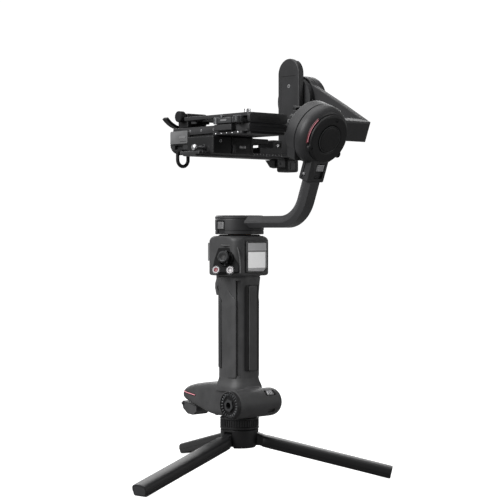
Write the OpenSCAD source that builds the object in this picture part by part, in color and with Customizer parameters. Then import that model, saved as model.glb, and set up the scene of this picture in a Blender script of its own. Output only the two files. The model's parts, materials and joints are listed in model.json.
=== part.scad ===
/* [Tripod] */
// Distance from the stand's axis to the tip of an open leg
leg_reach = 144.5; // [144:0.1:145]
// Width of one leg
leg_w = 17; // [15:0.5:18]
// Thickness of one leg
leg_t = 11; // [10:0.5:12]
// Slope of an open leg below the horizontal
leg_slope = 13; // [12.5:0.5:13.5]
// Heading of the first leg, seen from above
leg_heading = 71; // [0:1:119]

/* [Handle] */
// Width of the grip, across the palm
grip_w = 31; // [30:0.5:33]
// Depth of the grip, front to back
grip_d = 37; // [36:0.5:39]
// Side of the square control head
head_w = 45; // [44:0.5:46]
// Outer radius of the barrel across the foot of the grip
barrel_r = 13.4; // [13:0.2:14]

/* [Gimbal] */
// Height of the point where the three motor axes meet
axes_z = 360; // [358:0.5:362]
// Tilt of the roll axis, rising towards the lens
roll_rise = 21; // [20:0.5:22]
// Radius of the pan motor
pan_r = 23.3; // [23:0.1:23.5]
// Radius of the roll motor
roll_r = 28; // [27.5:0.1:28.5]
// Radius of the tilt motor
tilt_r = 25; // [24.5:0.1:25.5]
// Width of the curved pan arm
arm_w = 16; // [15:0.5:17]
// Thickness of the curved pan arm
arm_t = 11; // [10:0.5:11]

/* [Camera cradle] */
// Sideways place of the lens axis
lens_x = -17; // [-19:0.5:-15]
// Height of the face that the camera stands on
plate_z = 340; // [339:0.5:341]
// Radius of the lens barrel that the cradle carries
lens_r = 44.5; // [44:0.5:45]
// Radius along the middle of the cradle's curved strap
strap_r = 28; // [27:0.5:29]
// Height of the lens axis
lens_z = 383; // [382.5:0.5:384]

/* [Hidden] */
$fn = 64;

gap = 0.4;          // air between parts that slide or turn past each other
run = 0.08;         // radial clearance of a running fit
cut = 1;            // how far a cutting solid runs past the face it cuts

// Tripod
hub_r = 18.2;
hub_bottom = 26.6;
hub_top = 44;
hinge_r = 14.5;
hinge_z = 35;
leg_pin_r = 1.5;
tongue_w = 8.6;
tongue_r = 6.3;
spindle_r = 5;
stud_r = 4.7;
collar_r = 18.6;
collar_top = 55.2;
stud_top = 67;
knurls = 36;

// Handle
base_bottom = 55.6;
base_top = 87;
barrel_y = -24;
barrel_z = 70.5;
barrel_left = -31;
barrel_right = 19.5;
rosette_t = 3.6;
rosette_r = 13;
rosette_teeth = 24;
rosette_bore_r = 3.1;
nose_tip = 75;
accent_z = 71.4;
accent_h = 2;
grip_y = 1;
grip_wall = 2.6;
grip_top = 190;
pad_stand = 0.5;
pad_depth = 1.4;
head_bottom = 190;
head_top = 227.5;
head_y = 1;
console_turn = 26;
console_lean = 15;
console_x = -27.9;
console_y = 2.4;
console_z = 206.5;
button_r = 3.4;
button_drop = 11.2;
record_y = 8.5;
mode_y = -5.7;
trigger_y = 22.3;
trigger_z = 187.8;
trigger_w = 12;
lever_y = 73;
lever_z = 62.4;
lever_w = 18;

// Pan motor and arm
pan_bottom = 229;
pan_disc = 243.6;
pan_top = 247;
axle_r = 5;
arm_z = 240.7;
arm_bend_r = 30;
arm_root_y = -10;

// Roll motor, in its own leaning frame: y runs along the axis, towards the lens
roll_front = -100.5;
roll_seam = -113.6;
roll_back = -126;
roll_arm_y = -120.5;
socket_z = [-42, -20];
foot_drop = 26;     // how far the rotor housing's square foot hangs below the axis
bracket_x = [-8, 20];
bar_y = [-98.3, -86.3];
bar_h = 20;
bar_end = -14;
arm_x = [77.4, 83.6];

// Tilt motor and cradle
tilt_outer = 95;
rotor_x = [71.4, 77];
column_x = [64, 71];
column_d = 30;
guide_w = 16;
rail_z = 301.5;
rail_t = 4.5;
rail_left = -62;
flange_w = 28;
slide_x = [-49, 1];
slide_top = 320;
pin_z = 309.2;
shelf_end = 27.5;
deck_z = [320.3, 330];
deck_x = [-41, 7];
deck_y = [-58, 52];
plate_y = [-60, 35];
plate_t = 3.6;
cradle_y = [62.4, 69.4];
cradle_half = 48;
strap_z = 360;
strap_t = 3;

module rounded(w, d, r) {
  square([w - 2 * r, d], center = true);
  square([w, d - 2 * r], center = true);
  for (x = [-1, 1], y = [-1, 1])
    translate([x * (w / 2 - r), y * (d / 2 - r)]) circle(r = r);
}

module box(x, y, z) {
  translate([x[0], y[0], z[0]]) cube([x[1] - x[0], y[1] - y[0], z[1] - z[0]]);
}

module rod_x(r, x0, x1) {
  translate([x0, 0, 0]) rotate([0, 90, 0]) cylinder(r = r, h = x1 - x0);
}

module rod_y(r, y0, y1) {
  translate([0, y1, 0]) rotate([90, 0, 0]) cylinder(r = r, h = y1 - y0);
}

// Turns a shape drawn in y and z into a slab between two x planes
module slab_x(x0, x1) {
  translate([x0, 0, 0]) rotate([90, 0, 90]) linear_extrude(x1 - x0) children();
}

// Turns a shape drawn in x and z into a slab between two y planes
module slab_y(y0, y1) {
  translate([0, y1, 0]) rotate([90, 0, 0]) linear_extrude(y1 - y0) children();
}

// ---------------------------------------------------------------- tripod

module leg_frame(n) {
  rotate([0, 0, leg_heading + 120 * n]) translate([hinge_r, 0, hinge_z]) children();
}

module tripod_hub() {
  color("#2b2c2e")
  difference() {
    union() {
      translate([0, 0, hub_bottom + 2]) cylinder(r = hub_r, h = hub_top - hub_bottom - 2);
      translate([0, 0, hub_bottom]) cylinder(r1 = hub_r - 2, r2 = hub_r, h = 2);
    }
    translate([0, 0, hub_bottom - cut]) cylinder(r = spindle_r + run, h = hub_top - hub_bottom + 2 * cut);
    for (n = [0:2]) {
      leg_frame(n) box([-tongue_r - 0.6, hub_r], [-tongue_w / 2 - gap, tongue_w / 2 + gap],
                       [hub_bottom - hinge_z - cut, tongue_r + 0.6]);
      leg_frame(n) rod_y(leg_pin_r + 0.02, -hub_r, hub_r);
    }
  }
}

module leg_pins() {
  color("#8d8f92") for (n = [0:2]) leg_frame(n) rod_y(leg_pin_r, -8, 8);
}

// Across a leg: small chamfers below and wide ones on top
module leg_section() {
  side = leg_w / 2;
  top = leg_t / 2;
  polygon([
    [-side, 1.5 - top], [1.5 - side, -top], [side - 1.5, -top], [side, 1.5 - top],
    [side, top - 4], [side - 3.5, top], [3.5 - side, top], [-side, top - 4]
  ]);
}

module leg(n) {
  length = (leg_reach - hinge_r) / cos(leg_slope);
  color("#232426")
  leg_frame(n)
  difference() {
    union() {
      rotate([0, leg_slope, 0]) {
        intersection() {
          slab_y(-leg_w / 2, leg_w / 2)
            polygon([[5.6, leg_t / 2], [length, leg_t / 2], [length, -leg_t / 2], [12.6, -leg_t / 2]]);
          slab_x(0, length + cut)
            leg_section();
        }
        box([0, 14], [-tongue_w / 2, tongue_w / 2], [-5, 5]);
      }
      rod_y(tongue_r, -tongue_w / 2, tongue_w / 2);
    }
    rod_y(leg_pin_r + run, -leg_w, leg_w);
    box([100, 150], [-leg_w, leg_w], [-hinge_z - 5, -hinge_z]);
  }
}

module tripod_collar() {
  color("#2b2c2e") {
    difference() {
      translate([0, 0, hub_top + gap]) cylinder(r = collar_r, h = collar_top - hub_top - gap);
      for (k = [0:knurls - 1]) rotate([0, 0, k * 360 / knurls])
        box([collar_r - 0.6, collar_r + cut], [-0.6, 0.6], [hub_top + 2.4, collar_top - 1.4]);
    }
    translate([0, 0, hub_bottom + 2]) cylinder(r = spindle_r, h = hub_top - hub_bottom - 1);
    translate([0, 0, collar_top - 1]) cylinder(r = stud_r, h = stud_top - collar_top + 1);
  }
}

// ---------------------------------------------------------------- base

module nose_plan(inset) {
  polygon([
    [-17 + inset, -20], [-17 + inset, 14], [-12 + inset, nose_tip - 7], [-8 + inset, nose_tip - inset],
    [8 - inset, nose_tip - inset], [12 - inset, nose_tip - 7], [17 - inset, 14], [17 - inset, -20]
  ]);
}

module nose_profile() {
  polygon([[-30, base_bottom], [-30, base_top - 3], [-12, base_top], [20, base_top], [60, base_top - 5],
           [70, base_top - 9.5], [nose_tip, 73.5], [nose_tip, 68.5], [nose_tip - 2, 66],
           [40, 58.8], [28, base_bottom]]);
}

module accent_band(inset) {
  polygon([[50 + inset, accent_z + inset], [nose_tip + 1, accent_z + 1.8 + inset],
           [nose_tip + 1, accent_z + 1.8 + accent_h - inset], [50 + inset, accent_z + accent_h - inset]]);
}

module base_outer() {
  intersection() {
    slab_x(-18, 18) nose_profile();
    translate([0, 0, base_bottom]) linear_extrude(base_top - base_bottom) nose_plan(0);
  }
  translate([0, barrel_y, barrel_z]) {
    rod_x(barrel_r, barrel_left, barrel_right);
    translate([barrel_right, 0, 0]) rotate([0, 90, 0]) cylinder(r1 = barrel_r, r2 = barrel_r - 4, h = 5);
  }
}

// Places a shape on the barrel's skin, at an angle round the barrel from the top
module slider_frame(angle) {
  translate([9, barrel_y, barrel_z]) rotate([angle, 0, 0]) children();
}

module base_housing() {
  color("#3a3b3d") {
    difference() {
      base_outer();
      box([-12, 12], [-14, 24], [base_bottom - cut, 81]);
      box([-14, 14], [-16, 26], [base_bottom - cut, 58]);
      difference() {
        slab_x(-20, 20) accent_band(0);
        translate([0, 0, accent_z - 3]) linear_extrude(10) nose_plan(1.4);
      }
      translate([0, barrel_y, barrel_z]) rod_x(rosette_bore_r, barrel_left - cut, barrel_left + 9);
      slider_frame(43) box([-6.4, 6.4], [-3.2, 3.2], [barrel_r - 2.6, barrel_r + 2]);
      slider_frame(123) box([-4, 4], [-2, 2], [barrel_r - 1.6, barrel_r + 2]);
    }
    for (s = [-1, 1])
      difference() {
        box(s > 0 ? [lever_w / 2 + gap, lever_w / 2 + 2] : [-lever_w / 2 - 2, -lever_w / 2 - gap],
            [lever_y - 3, lever_y + 1.6], [lever_z - 2.6, 67]);
        translate([0, lever_y, lever_z]) rod_x(1.25, -lever_w, lever_w);
      }
  }
}

module base_bottom_cover() {
  color("#26272a")
  difference() {
    union() {
      box([-13.8, 13.8], [-15.8, 25.8], [base_bottom, 57.9]);
      translate([0, 0, base_bottom]) cylinder(r = 9, h = 14.4);
    }
    translate([0, 0, base_bottom - cut]) cylinder(r = stud_r + 0.1, h = 14);
    for (x = [-10, 10], y = [-12, 22]) translate([x, y, base_bottom - cut]) cylinder(r = 1.4, h = 2.2);
  }
}

module rosette_mount() {
  color("#1b1c1e")
  translate([barrel_left - rosette_t, barrel_y, barrel_z]) {
    difference() {
      rod_x(rosette_r, 0, rosette_t);
      rod_x(rosette_bore_r, -cut, rosette_t + cut);
      for (k = [0:rosette_teeth - 1]) rotate([k * 360 / rosette_teeth, 0, 0])
        translate([0, 0, 8.5]) rotate([0, 0, 45]) box([-0.75, 0.75], [-0.75, 0.75], [0, 10]);
    }
    difference() {
      translate([-0.8, 0, 0]) rotate([0, 90, 0]) cylinder(r = 6, h = 2, $fn = 6);
      rod_x(rosette_bore_r, -3, rosette_t + cut);
    }
  }
}

module nose_accent() {
  color("#c2203c")
  intersection() {
    difference() {
      translate([0, 0, accent_z - 3]) linear_extrude(10) nose_plan(0.4);
      translate([0, 0, accent_z - 4]) linear_extrude(12) nose_plan(1.4);
    }
    slab_x(-20, 20) accent_band(0.05);
  }
}

module release_lever() {
  color("#4b4c4c")
  translate([0, lever_y, lever_z]) {
    slab_x(-lever_w / 2, lever_w / 2) {
      polygon([
        [0, 2.2], [-8, 0.6], [-19.5, -2.4], [-19.5, -6.5], [-14, -10.6], [-6, -10], [0.8, -5.2], [2.2, -0.6]
      ]);
      circle(r = 2.3);
    }
    rod_x(1.2, -lever_w / 2 - 1.9, lever_w / 2 + 1.9);
  }
}

module base_lock_slider() {
  color("#b9bab8")
  slider_frame(43) {
    box([-3.6, 3.6], [-2.8, 2.8], [barrel_r - 2.4, barrel_r + 0.4]);
    for (k = [-1:1]) box([k * 2 - 0.4, k * 2 + 0.4], [-2.2, 2.2], [barrel_r + 0.3, barrel_r + 0.8]);
  }
}

// ---------------------------------------------------------------- grip

module grip_section(grow) {
  translate([0, grip_y]) rounded(grip_w + 2 * grow, grip_d + 2 * grow, 12 + grow);
}

module front_pad_zone() {
  box([-20, 20], [9, 30], [97, 170]);
}

module rear_pad_zone() {
  box([-20, 20], [-30, -6], [98, 183]);
}

module grip_shell() {
  color("#3c3d3f")
  difference() {
    translate([0, 0, base_top]) linear_extrude(grip_top - base_top) grip_section(0);
    translate([0, 0, base_top + 3]) linear_extrude(grip_top - base_top) grip_section(-grip_wall);
    for (zone = [0, 1]) difference() {
      if (zone == 0) front_pad_zone(); else rear_pad_zone();
      translate([0, 0, base_top]) linear_extrude(grip_top) grip_section(-pad_depth);
    }
  }
}

module grip_pad() {
  intersection() {
    children();
    translate([0, 0, base_top]) linear_extrude(grip_top - base_top)
      difference() {
        grip_section(pad_stand);
        grip_section(-pad_depth);
      }
  }
}

module front_grip_pad() {
  color("#2e2f31") grip_pad() front_pad_zone();
}

module rear_grip_pad() {
  color("#343537") grip_pad() rear_pad_zone();
}

module battery_pack() {
  color("#2456a0") translate([0, grip_y, 100]) linear_extrude(70) rounded(21, 27, 4);
}

// ---------------------------------------------------------------- control head

module head_outer() {
  intersection() {
    translate([0, head_y, head_bottom]) linear_extrude(head_top - head_bottom) rounded(head_w, head_w, 9);
    union() {
      translate([0, 0, head_bottom + 3]) cylinder(r = 36, h = 22);
      translate([0, 0, head_bottom + 25]) cylinder(r1 = 36, r2 = 23.4, h = head_top - head_bottom - 25);
      translate([0, 0, head_bottom]) cylinder(r1 = 27, r2 = 36, h = 3);
    }
  }
}

module head_housing() {
  color("#414244") {
    difference() {
      union() {
        head_outer();
        box([-16, 16], [20, 28], [202.4, 222]);
      }
      translate([0, head_y, head_bottom - cut]) linear_extrude(30) rounded(head_w - 8, head_w - 8, 6);
      box([-12.6, 16.6], [-30, -21], [191.4, 223.8]);
      box([-13, 13], [26.6, 30], [205, 219]);
      translate([head_w / 2, 0, 207]) rod_x(2.6, -6, 1);
      stick_pocket();
    }
    translate([0, 0, head_bottom]) difference() {
      linear_extrude(3) translate([0, head_y]) rounded(head_w - 7, head_w - 7, 6);
      translate([0, 0, -cut]) linear_extrude(6) grip_section(-grip_wall);
    }
    for (s = [-1, 1])
      difference() {
        box(s > 0 ? [trigger_w / 2 + gap, trigger_w / 2 + 2.4] : [-trigger_w / 2 - 2.4, -trigger_w / 2 - gap],
            [20, trigger_y + 2.2], [trigger_z - 2.2, head_bottom]);
        translate([0, trigger_y, trigger_z]) rod_x(1.25, -trigger_w, trigger_w);
      }
  }
}

module console_frame() {
  rotate([0, 0, console_turn]) translate([console_x, console_y, console_z])
    rotate([0, console_lean - 90, 0]) children();
}

module stick_pocket() {
  console_frame() {
    translate([0, 0, -4.2]) cylinder(r = 6.8, h = 10);
    rod_x(1 + run, -8, 8);
  }
}

module console_wedge() {
  rotate([0, 0, console_turn])
  intersection() {
    slab_y(-18, 22)
      polygon([[-10, 190.6], [-30.6, 190.6], [-31.7, 192.4], [-25.6, 215.4], [-22.6, 218.6], [-10, 219.4]]);
    slab_x(-40, -10) polygon([[-13.4, 188], [18.2, 188], [12.2, 221], [-6.8, 221]]);
  }
}

module thumb_console() {
  color("#1d1e20")
  difference() {
    console_wedge();
    head_outer();
    stick_pocket();
    console_frame() {
      translate([-button_drop, record_y, -3]) cylinder(r = button_r + 0.2, h = 10);
      translate([-button_drop, mode_y, -3]) cylinder(r = button_r + 0.2, h = 10);
    }
    box([-24, 10], [-40, -21.6], [180, 230]);
  }
}

module joystick_yoke() {
  color("#55575a")
  console_frame() {
    difference() {
      union() {
        rod_x(2.8, -5, 5);
        rod_x(1, -7.5, 7.5);
      }
      box([-2.8, 2.8], [-1.75, 1.75], [-10, 10]);
      rod_y(1 + run, -4, 4);
    }
  }
}

module joystick_cap() {
  color("#17181a")
  console_frame() {
    translate([0, 0, -1.6]) cylinder(r = 1.5, h = 6.2);
    rod_y(1, -2.6, 2.6);
    translate([0, 0, 4]) cylinder(r1 = 3.6, r2 = 5.6, h = 1.6);
    difference() {
      translate([0, 0, 5.5]) cylinder(r1 = 5.6, r2 = 5, h = 1.8);
      translate([0, 0, 13.6]) sphere(r = 7.2);
    }
  }
}

module button(y) {
  console_frame() translate([-button_drop, y, -1.9]) cylinder(r = button_r, h = 2.8);
}

module record_button() {
  color("#b8b5b4") button(record_y);
}

module mode_button() {
  color("#b8b5b4") button(mode_y);
}

module screen_bezel() {
  color("#4a4b4d")
  difference() {
    box([-12.4, 16.4], [-23.2, -21.1], [191.6, 223.6]);
    box([-10.8, 14.8], [-24, -22.2], [193.5, 220.6]);
  }
}

module screen_glass() {
  color("#8f9193") box([-10.7, 14.7], [-23, -22.2], [193.6, 220.5]);
}

module fill_light_lens() {
  color("#e8e4d4") box([-12.9, 12.9], [26.6, 28.4], [205.1, 218.9]);
}

module trigger() {
  color("#34363a")
  translate([0, trigger_y, trigger_z]) {
    slab_x(-trigger_w / 2, trigger_w / 2) {
      polygon([
        [-1.4, 1.2], [1.2, 1.4], [5.4, -3.6], [6.4, -9.8], [3.8, -17.4], [1.4, -17.4], [2.8, -10], [-0.6, -3]
      ]);
      circle(r = 1.9);
    }
    rod_x(1.2, -trigger_w / 2 - 2.2, trigger_w / 2 + 2.2);
  }
}

module cover_screws() {
  color("#77797c")
  for (x = [-10, 10], y = [-12, 22]) translate([x, y, base_bottom - 0.4]) cylinder(r = 1.3, h = 1.5);
}

// ---------------------------------------------------------------- pan axis

module pan_motor_stator() {
  color("#b87333") {
    translate([0, 0, head_top]) cylinder(r = 11, h = 3);
    translate([0, 0, head_top + 2]) cylinder(r = axle_r, h = 13.8);
    translate([0, 0, 232.5]) cylinder(r = 17.5, h = 7.5);
  }
}

module pan_housing() {
  color("#2c2d2f")
  difference() {
    translate([0, 0, pan_bottom]) cylinder(r = pan_r, h = pan_disc - pan_bottom - 0.1);
    translate([0, 0, pan_bottom - cut]) cylinder(r = pan_r - 2.8, h = 12.4);
    translate([0, 0, pan_bottom - cut]) cylinder(r = axle_r + run, h = 20);
    rotate([0, 0, 178]) box([pan_r - 2.2, pan_r + 2], [-4.6, 4.6], [230.4, 241.6]);
  }
}

module pan_lock_slider() {
  color("#c9cac8")
  rotate([0, 0, 178]) {
    box([pan_r - 2, pan_r + 0.3], [-4.2, 4.2], [233.6, 241.2]);
    for (k = [0:2]) box([pan_r + 0.2, pan_r + 0.7], [-3.2, 3.2], [235 + 1.9 * k, 235.8 + 1.9 * k]);
  }
}

// End of the arm on the roll motor, and the bend below it, in the y-z plane
arm_top = [roll_arm_y * cos(roll_rise) - socket_z[0] * sin(roll_rise),
           axes_z + roll_arm_y * sin(roll_rise) + socket_z[0] * cos(roll_rise)];
bend_end_z = arm_z + arm_bend_r * (1 - sin(roll_rise));
bend_end_y = arm_top[0] + (arm_top[1] - bend_end_z) * tan(roll_rise);
bend_y = bend_end_y + arm_bend_r * cos(roll_rise);
arm_rise = (arm_top[1] - bend_end_z) / cos(roll_rise);
bend_centre = [bend_y, arm_z + arm_bend_r];
bend_steps = 14;

function bend_point(r, angle) = bend_centre + r * [cos(angle), sin(angle)];

// One side of the arm from the pan motor up to the roll motor: a run back, the bend and a leaning run up
function arm_side(r) = concat(
  [[arm_root_y, bend_centre[1] - r]],
  [for (k = [0:bend_steps]) bend_point(r, -90 - k * (90 - roll_rise) / bend_steps)],
  [bend_point(r, roll_rise - 180) + arm_rise * [-sin(roll_rise), cos(roll_rise)]]
);

function backwards(list) = [for (k = [len(list) - 1:-1:0]) list[k]];

module pan_arm() {
  color("#313234") {
    translate([0, 0, pan_disc]) cylinder(r = pan_r, h = pan_top - pan_disc);
    difference() {
      union() {
        slab_x(-arm_w / 2, arm_w / 2)
          polygon(concat(arm_side(arm_bend_r + arm_t / 2), backwards(arm_side(arm_bend_r - arm_t / 2))));
        translate([0, 0, arm_z - 4.2]) linear_extrude(9.2)
          polygon([[-14, -17], [-7.5, -38], [7.5, -38], [14, -17]]);
      }
      translate([0, 0, pan_bottom - cut]) cylinder(r = pan_r + 0.2, h = pan_disc - pan_bottom + cut);
    }
  }
}

// ---------------------------------------------------------------- roll axis

module roll_frame() {
  translate([0, 0, axes_z]) rotate([roll_rise, 0, 0]) children();
}

module roll_stator_housing() {
  color("#3b3d3e")
  roll_frame()
  difference() {
    union() {
      translate([0, roll_seam, 0]) rotate([90, 0, 0]) cylinder(r = roll_r, h = 6);
      translate([0, roll_seam - 6, 0]) rotate([90, 0, 0]) cylinder(r1 = roll_r, r2 = roll_r - 3.4, h = 6.4);
      box([-10.6, 10.6], [roll_back, roll_seam], [socket_z[0], socket_z[1]]);
    }
    rod_y(roll_r - 3.6, roll_back + 4, roll_seam + cut);
    rod_y(axle_r + 0.01, roll_back - cut, roll_seam);
    box([-3.4, 6.4], [roll_back - cut, roll_back + 2.6], [-37.5, -24.5]);
    box([-11, -9.8], [-121.5, -117.5], [-39, -25]);
  }
}

module roll_motor_core() {
  color("#b87333")
  roll_frame() {
    rod_y(20, -121, roll_seam);
    rod_y(axle_r, roll_back + 0.1, -104);
  }
}

module roll_cap_ring() {
  color("#17181a")
  roll_frame() {
    difference() {
      rod_y(22, roll_back - 3.4, roll_back);
      rod_y(12.6, roll_back - 5, roll_back + cut);
      for (a = [80, 205, 320])
        rotate([0, -a, 0]) translate([17.6, 0, 0]) rod_y(1.5, roll_back - 5, roll_back - 1.8);
    }
    for (a = [205, 320]) rotate([0, -a, 0]) translate([21.8, 0, 0]) difference() {
      rod_y(3, roll_back - 3, roll_back - 0.2);
      translate([-4.2, 0, 0]) rod_y(1.52, roll_back - 5, roll_back - 1.8);
    }
  }
}

module roll_cap() {
  color("#2a2b2d")
  roll_frame() {
    rod_y(11.6, roll_back - 4.2, roll_back);
  }
}

module roll_accent_arc() {
  color("#c2203c")
  roll_frame()
  intersection() {
    difference() {
      rod_y(24.4, roll_back - 1.6, roll_back);
      rod_y(22.1, roll_back - 3, roll_back + cut);
    }
    slab_y(roll_back - 3, roll_back + 1) polygon([[0, 0], [-30, 30], [-34, 0], [-33, -8]]);
  }
}

module roll_lock_slider() {
  color("#b9bab8")
  roll_frame() {
    box([-3, 6], [roll_back - 0.4, roll_back + 2.4], [-31.5, -25]);
    for (k = [0:2]) box([-2, 5], [roll_back - 0.9, roll_back - 0.3], [-30.5 + 1.9 * k, -29.7 + 1.9 * k]);
  }
}

module roll_rotor_housing() {
  color("#46484a")
  roll_frame()
  difference() {
    union() {
      rod_y(roll_r, roll_seam + gap, roll_front - 2);
      translate([0, roll_front - 2, 0]) rotate([-90, 0, 0]) cylinder(r1 = roll_r, r2 = roll_r - 2, h = 2);
      box(bracket_x, [roll_front - 1, -83], [-14, 14]);
      slab_y(roll_seam + gap, roll_front - 2)
        polygon([[0, 0], [-27, -4], [-20.6, 2.6 - foot_drop], [-17.6, -foot_drop], [0, -foot_drop]]);
    }
    rod_y(axle_r + run, roll_seam, -103.5);
    rod_y(21, roll_seam, -109);
    box([-30, 30], [bar_y[0] - 0.3, bar_y[1] + 0.3], [-bar_h / 2 - 0.3, bar_h / 2 + 0.3]);
    translate([12, -91.3, 0]) cylinder(r = 2.6, h = 20);
  }
}

module roll_clamp_lever() {
  color("#2c2d2f")
  roll_frame()
  translate([12, -91.3, 14.3]) {
    cylinder(r = 5, h = 4);
    translate([0, 0, -3.4]) cylinder(r = 2.5, h = 4);
    box([-28, 0], [-3.2, 3.2], [0.6, 3.6]);
  }
}

module roll_arm() {
  color("#3b3d3e")
  roll_frame() {
    difference() {
      box([bar_end, arm_x[1]], bar_y, [-bar_h / 2, bar_h / 2]);
      translate([arm_x[1], bar_y[0], 0]) rotate([0, 0, 45]) box([-4, 4], [-4, 4], [-20, 20]);
    }
    difference() {
      slab_x(arm_x[0], arm_x[1]) {
        polygon([
          [bar_y[0] + 5.6, -bar_h / 2], [bar_y[0] + 5.6, bar_h / 2], [-60, 15],
          [-14, tilt_r - 4], [-14, 4 - tilt_r], [-60, -13]
        ]);
        circle(r = tilt_r);
      }
      rod_x(axle_r + run, 60, 90);
      box([arm_x[0] - cut, arm_x[0] + 2.8], [-42, -30.4], [-4.2, 4.2]);
    }
  }
}

// ---------------------------------------------------------------- tilt axis

module tilt_stator_housing() {
  color("#3b3d3e")
  roll_frame()
  difference() {
    union() {
      rod_x(tilt_r, arm_x[1], tilt_outer - 3);
      translate([tilt_outer - 3, 0, 0]) rotate([0, 90, 0]) cylinder(r1 = tilt_r, r2 = tilt_r - 3, h = 3);
    }
    rod_x(tilt_r - 3, arm_x[1] - cut, tilt_outer - 2.6);
  }
}

module tilt_motor_core() {
  color("#b87333")
  roll_frame()
  difference() {
    rod_x(19, arm_x[1], 90.5);
    rod_x(axle_r + 0.4, 80, 100);
  }
}

module tilt_lock_slider() {
  color("#b9bab8")
  roll_frame() box([arm_x[0] - 0.2, arm_x[0] + 2.6], [-38, -32], [-3.8, 3.8]);
}

module tilt_rotor_housing() {
  color("#2c2d2f")
  translate([0, 0, axes_z]) {
    rod_x(tilt_r - 2, rotor_x[0], rotor_x[1]);
    rod_x(axle_r, rotor_x[1] - 1, 91);
    box([67.6, rotor_x[0] + 1], [-guide_w / 2, guide_w / 2], [-22, 22]);
  }
}

module tilt_arm() {
  color("#37393b") {
    difference() {
      union() {
        box(column_x, [-column_d / 2, column_d / 2], [rail_z, axes_z + 26]);
        slab_x(column_x[0], column_x[1]) translate([0, axes_z + 26]) intersection() {
          circle(r = column_d / 2);
          translate([-20, 0]) square([40, 20]);
        }
      }
      box([67.3, column_x[1] + cut], [-guide_w / 2 - 0.3, guide_w / 2 + 0.3], [rail_z + 12, axes_z + 50]);
    }
    difference() {
      box([rail_left, column_x[1]], [-flange_w / 2, flange_w / 2], [rail_z, rail_z + rail_t]);
      for (s = [-1, 1])
        box([rail_left - cut, 52], s > 0 ? [9, 20] : [-20, -9], [rail_z - cut, rail_z + 1.8]);
      box([15, 45], [-4, 4], [rail_z - cut, rail_z + 1.8]);
    }
    box([55, 71], [-8, 8], [289.5, rail_z + 0.2]);
    box([16, 46], [-11, 11], [rail_z + rail_t - 0.2, 311.8]);
    box([33, 46], [-11, 11], [311, 319.6]);
    for (s = [-1, 1])
      difference() {
        box([44.5, 56], s > 0 ? [3.4, 5.6] : [-5.6, -3.4], [294, rail_z + 2]);
        translate([48, 0, 297.4]) rod_y(1.25, -9, 9);
      }
  }
}

module height_clamp_lever() {
  color("#27282a")
  translate([48, 0, 297.4]) {
    slab_y(-3, 3) {
      polygon([[-1, 3.2], [-12, 3.2], [-6, -3.6], [-1.5, -4.4], [2, -1.6]]);
      circle(r = 2.2);
    }
    rod_y(1.2, -5.4, 5.4);
  }
}

module cross_slide() {
  color("#202123")
  difference() {
    union() {
      box(slide_x, [-19, 19], [rail_z + 2.2, slide_top]);
      box([slide_x[1] - cut, shelf_end], [-11, 11], [314.8, slide_top]);
    }
    box([slide_x[0] - cut, slide_x[1] + cut], [-flange_w / 2 - 0.3, flange_w / 2 + 0.3],
        [rail_z - cut, rail_z + rail_t + 0.3]);
    translate([-20, 0, 312]) rod_y(3, -22, 22);
    translate([0, -6, pin_z]) rod_x(2.3, slide_x[0] - cut, slide_x[0] + 17);
  }
}

module cross_slide_pin() {
  color("#d4d5d6")
  translate([0, -6, pin_z]) {
    rod_x(2.9, slide_x[0] - 13, slide_x[0] - 9.6);
    rod_x(1.5, slide_x[0] - 10, slide_x[0] + 2);
    rod_x(2.2, slide_x[0] + 1.5, slide_x[0] + 15);
  }
}

// ---------------------------------------------------------------- camera plates

module slide_rail() {
  color("#55585a") {
    difference() {
      union() {
        box(deck_x, deck_y, [deck_z[0] + 2.4, deck_z[1]]);
        box([-38, 5], deck_y, [deck_z[0], deck_z[0] + 3]);
        for (x = [deck_x[0], deck_x[1] - 4.4]) box([x, x + 4.4], [-56, -14], [deck_z[1] - 1, 336]);
        box([-41, -14], [26, 52], [309, deck_z[0] + 3]);
        translate([-45.2, -20, 324]) cylinder(r = 3.6, h = 6);
        box([-45.2, -40], [-23.6, -16.4], [324, deck_z[1]]);
      }
      box([-30, -4], [-52, 20], [deck_z[0] + 4.4, deck_z[1] + cut]);
      translate([-28, 0, 315.5]) rod_y(3.08, 36, 60);
    }
    for (x = [-40, -33.6]) difference() {
      box([x, x + 2.4], [38, 45], [304.4, 309.2]);
      translate([0, 41.5, 306.6]) rod_x(1.58, -44, -24);
    }
  }
}

module slide_lock_knob() {
  color("#2b2c2e")
  translate([-28, 0, 315.5]) {
    rod_y(3, 37, 54);
    difference() {
      rod_y(9, 52.4, 60);
      for (k = [0:19]) rotate([0, k * 18, 0]) box([8.5, 10], [54, 59], [-0.6, 0.6]);
    }
  }
}

module d_ring() {
  color("#1f2022")
  translate([-35.6, 41.5, 306.6]) {
    rod_x(1.5, -6.8, 6.8);
    translate([0, 0, -6.4]) rotate([90, 0, 0]) intersection() {
      rotate_extrude() translate([6.4, 0]) circle(r = 1.7);
      box([-12, 12], [-12, 0], [-4, 4]);
    }
    for (x = [-6.4, 6.4]) translate([x, 0, -6.4]) cylinder(r = 1.7, h = 6.4);
  }
}

module quick_release_plate() {
  color("#2f3133")
  difference() {
    union() {
      box([-41, 7], plate_y, [plate_z - plate_t, plate_z]);
      box([-36.2, 2.2], [plate_y[0], -12], [330.3, plate_z - plate_t + 0.1]);
      box([lens_x - 8, lens_x + 8], [plate_y[1] - 1, 50], [334.5, 338.5]);
    }
    translate([lens_x, -30, 320]) cylinder(r = 3.18, h = 30);
    translate([lens_x, -30, 325]) cylinder(r = 9.4, h = 10.6);
    for (x = [-34, 0]) box([x - 1.6, x + 1.6], [-50, 20], [plate_z - 0.8, plate_z + cut]);
    box([lens_x - 3, lens_x + 3], [-4, 26], [330, 350]);
  }
}

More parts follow.
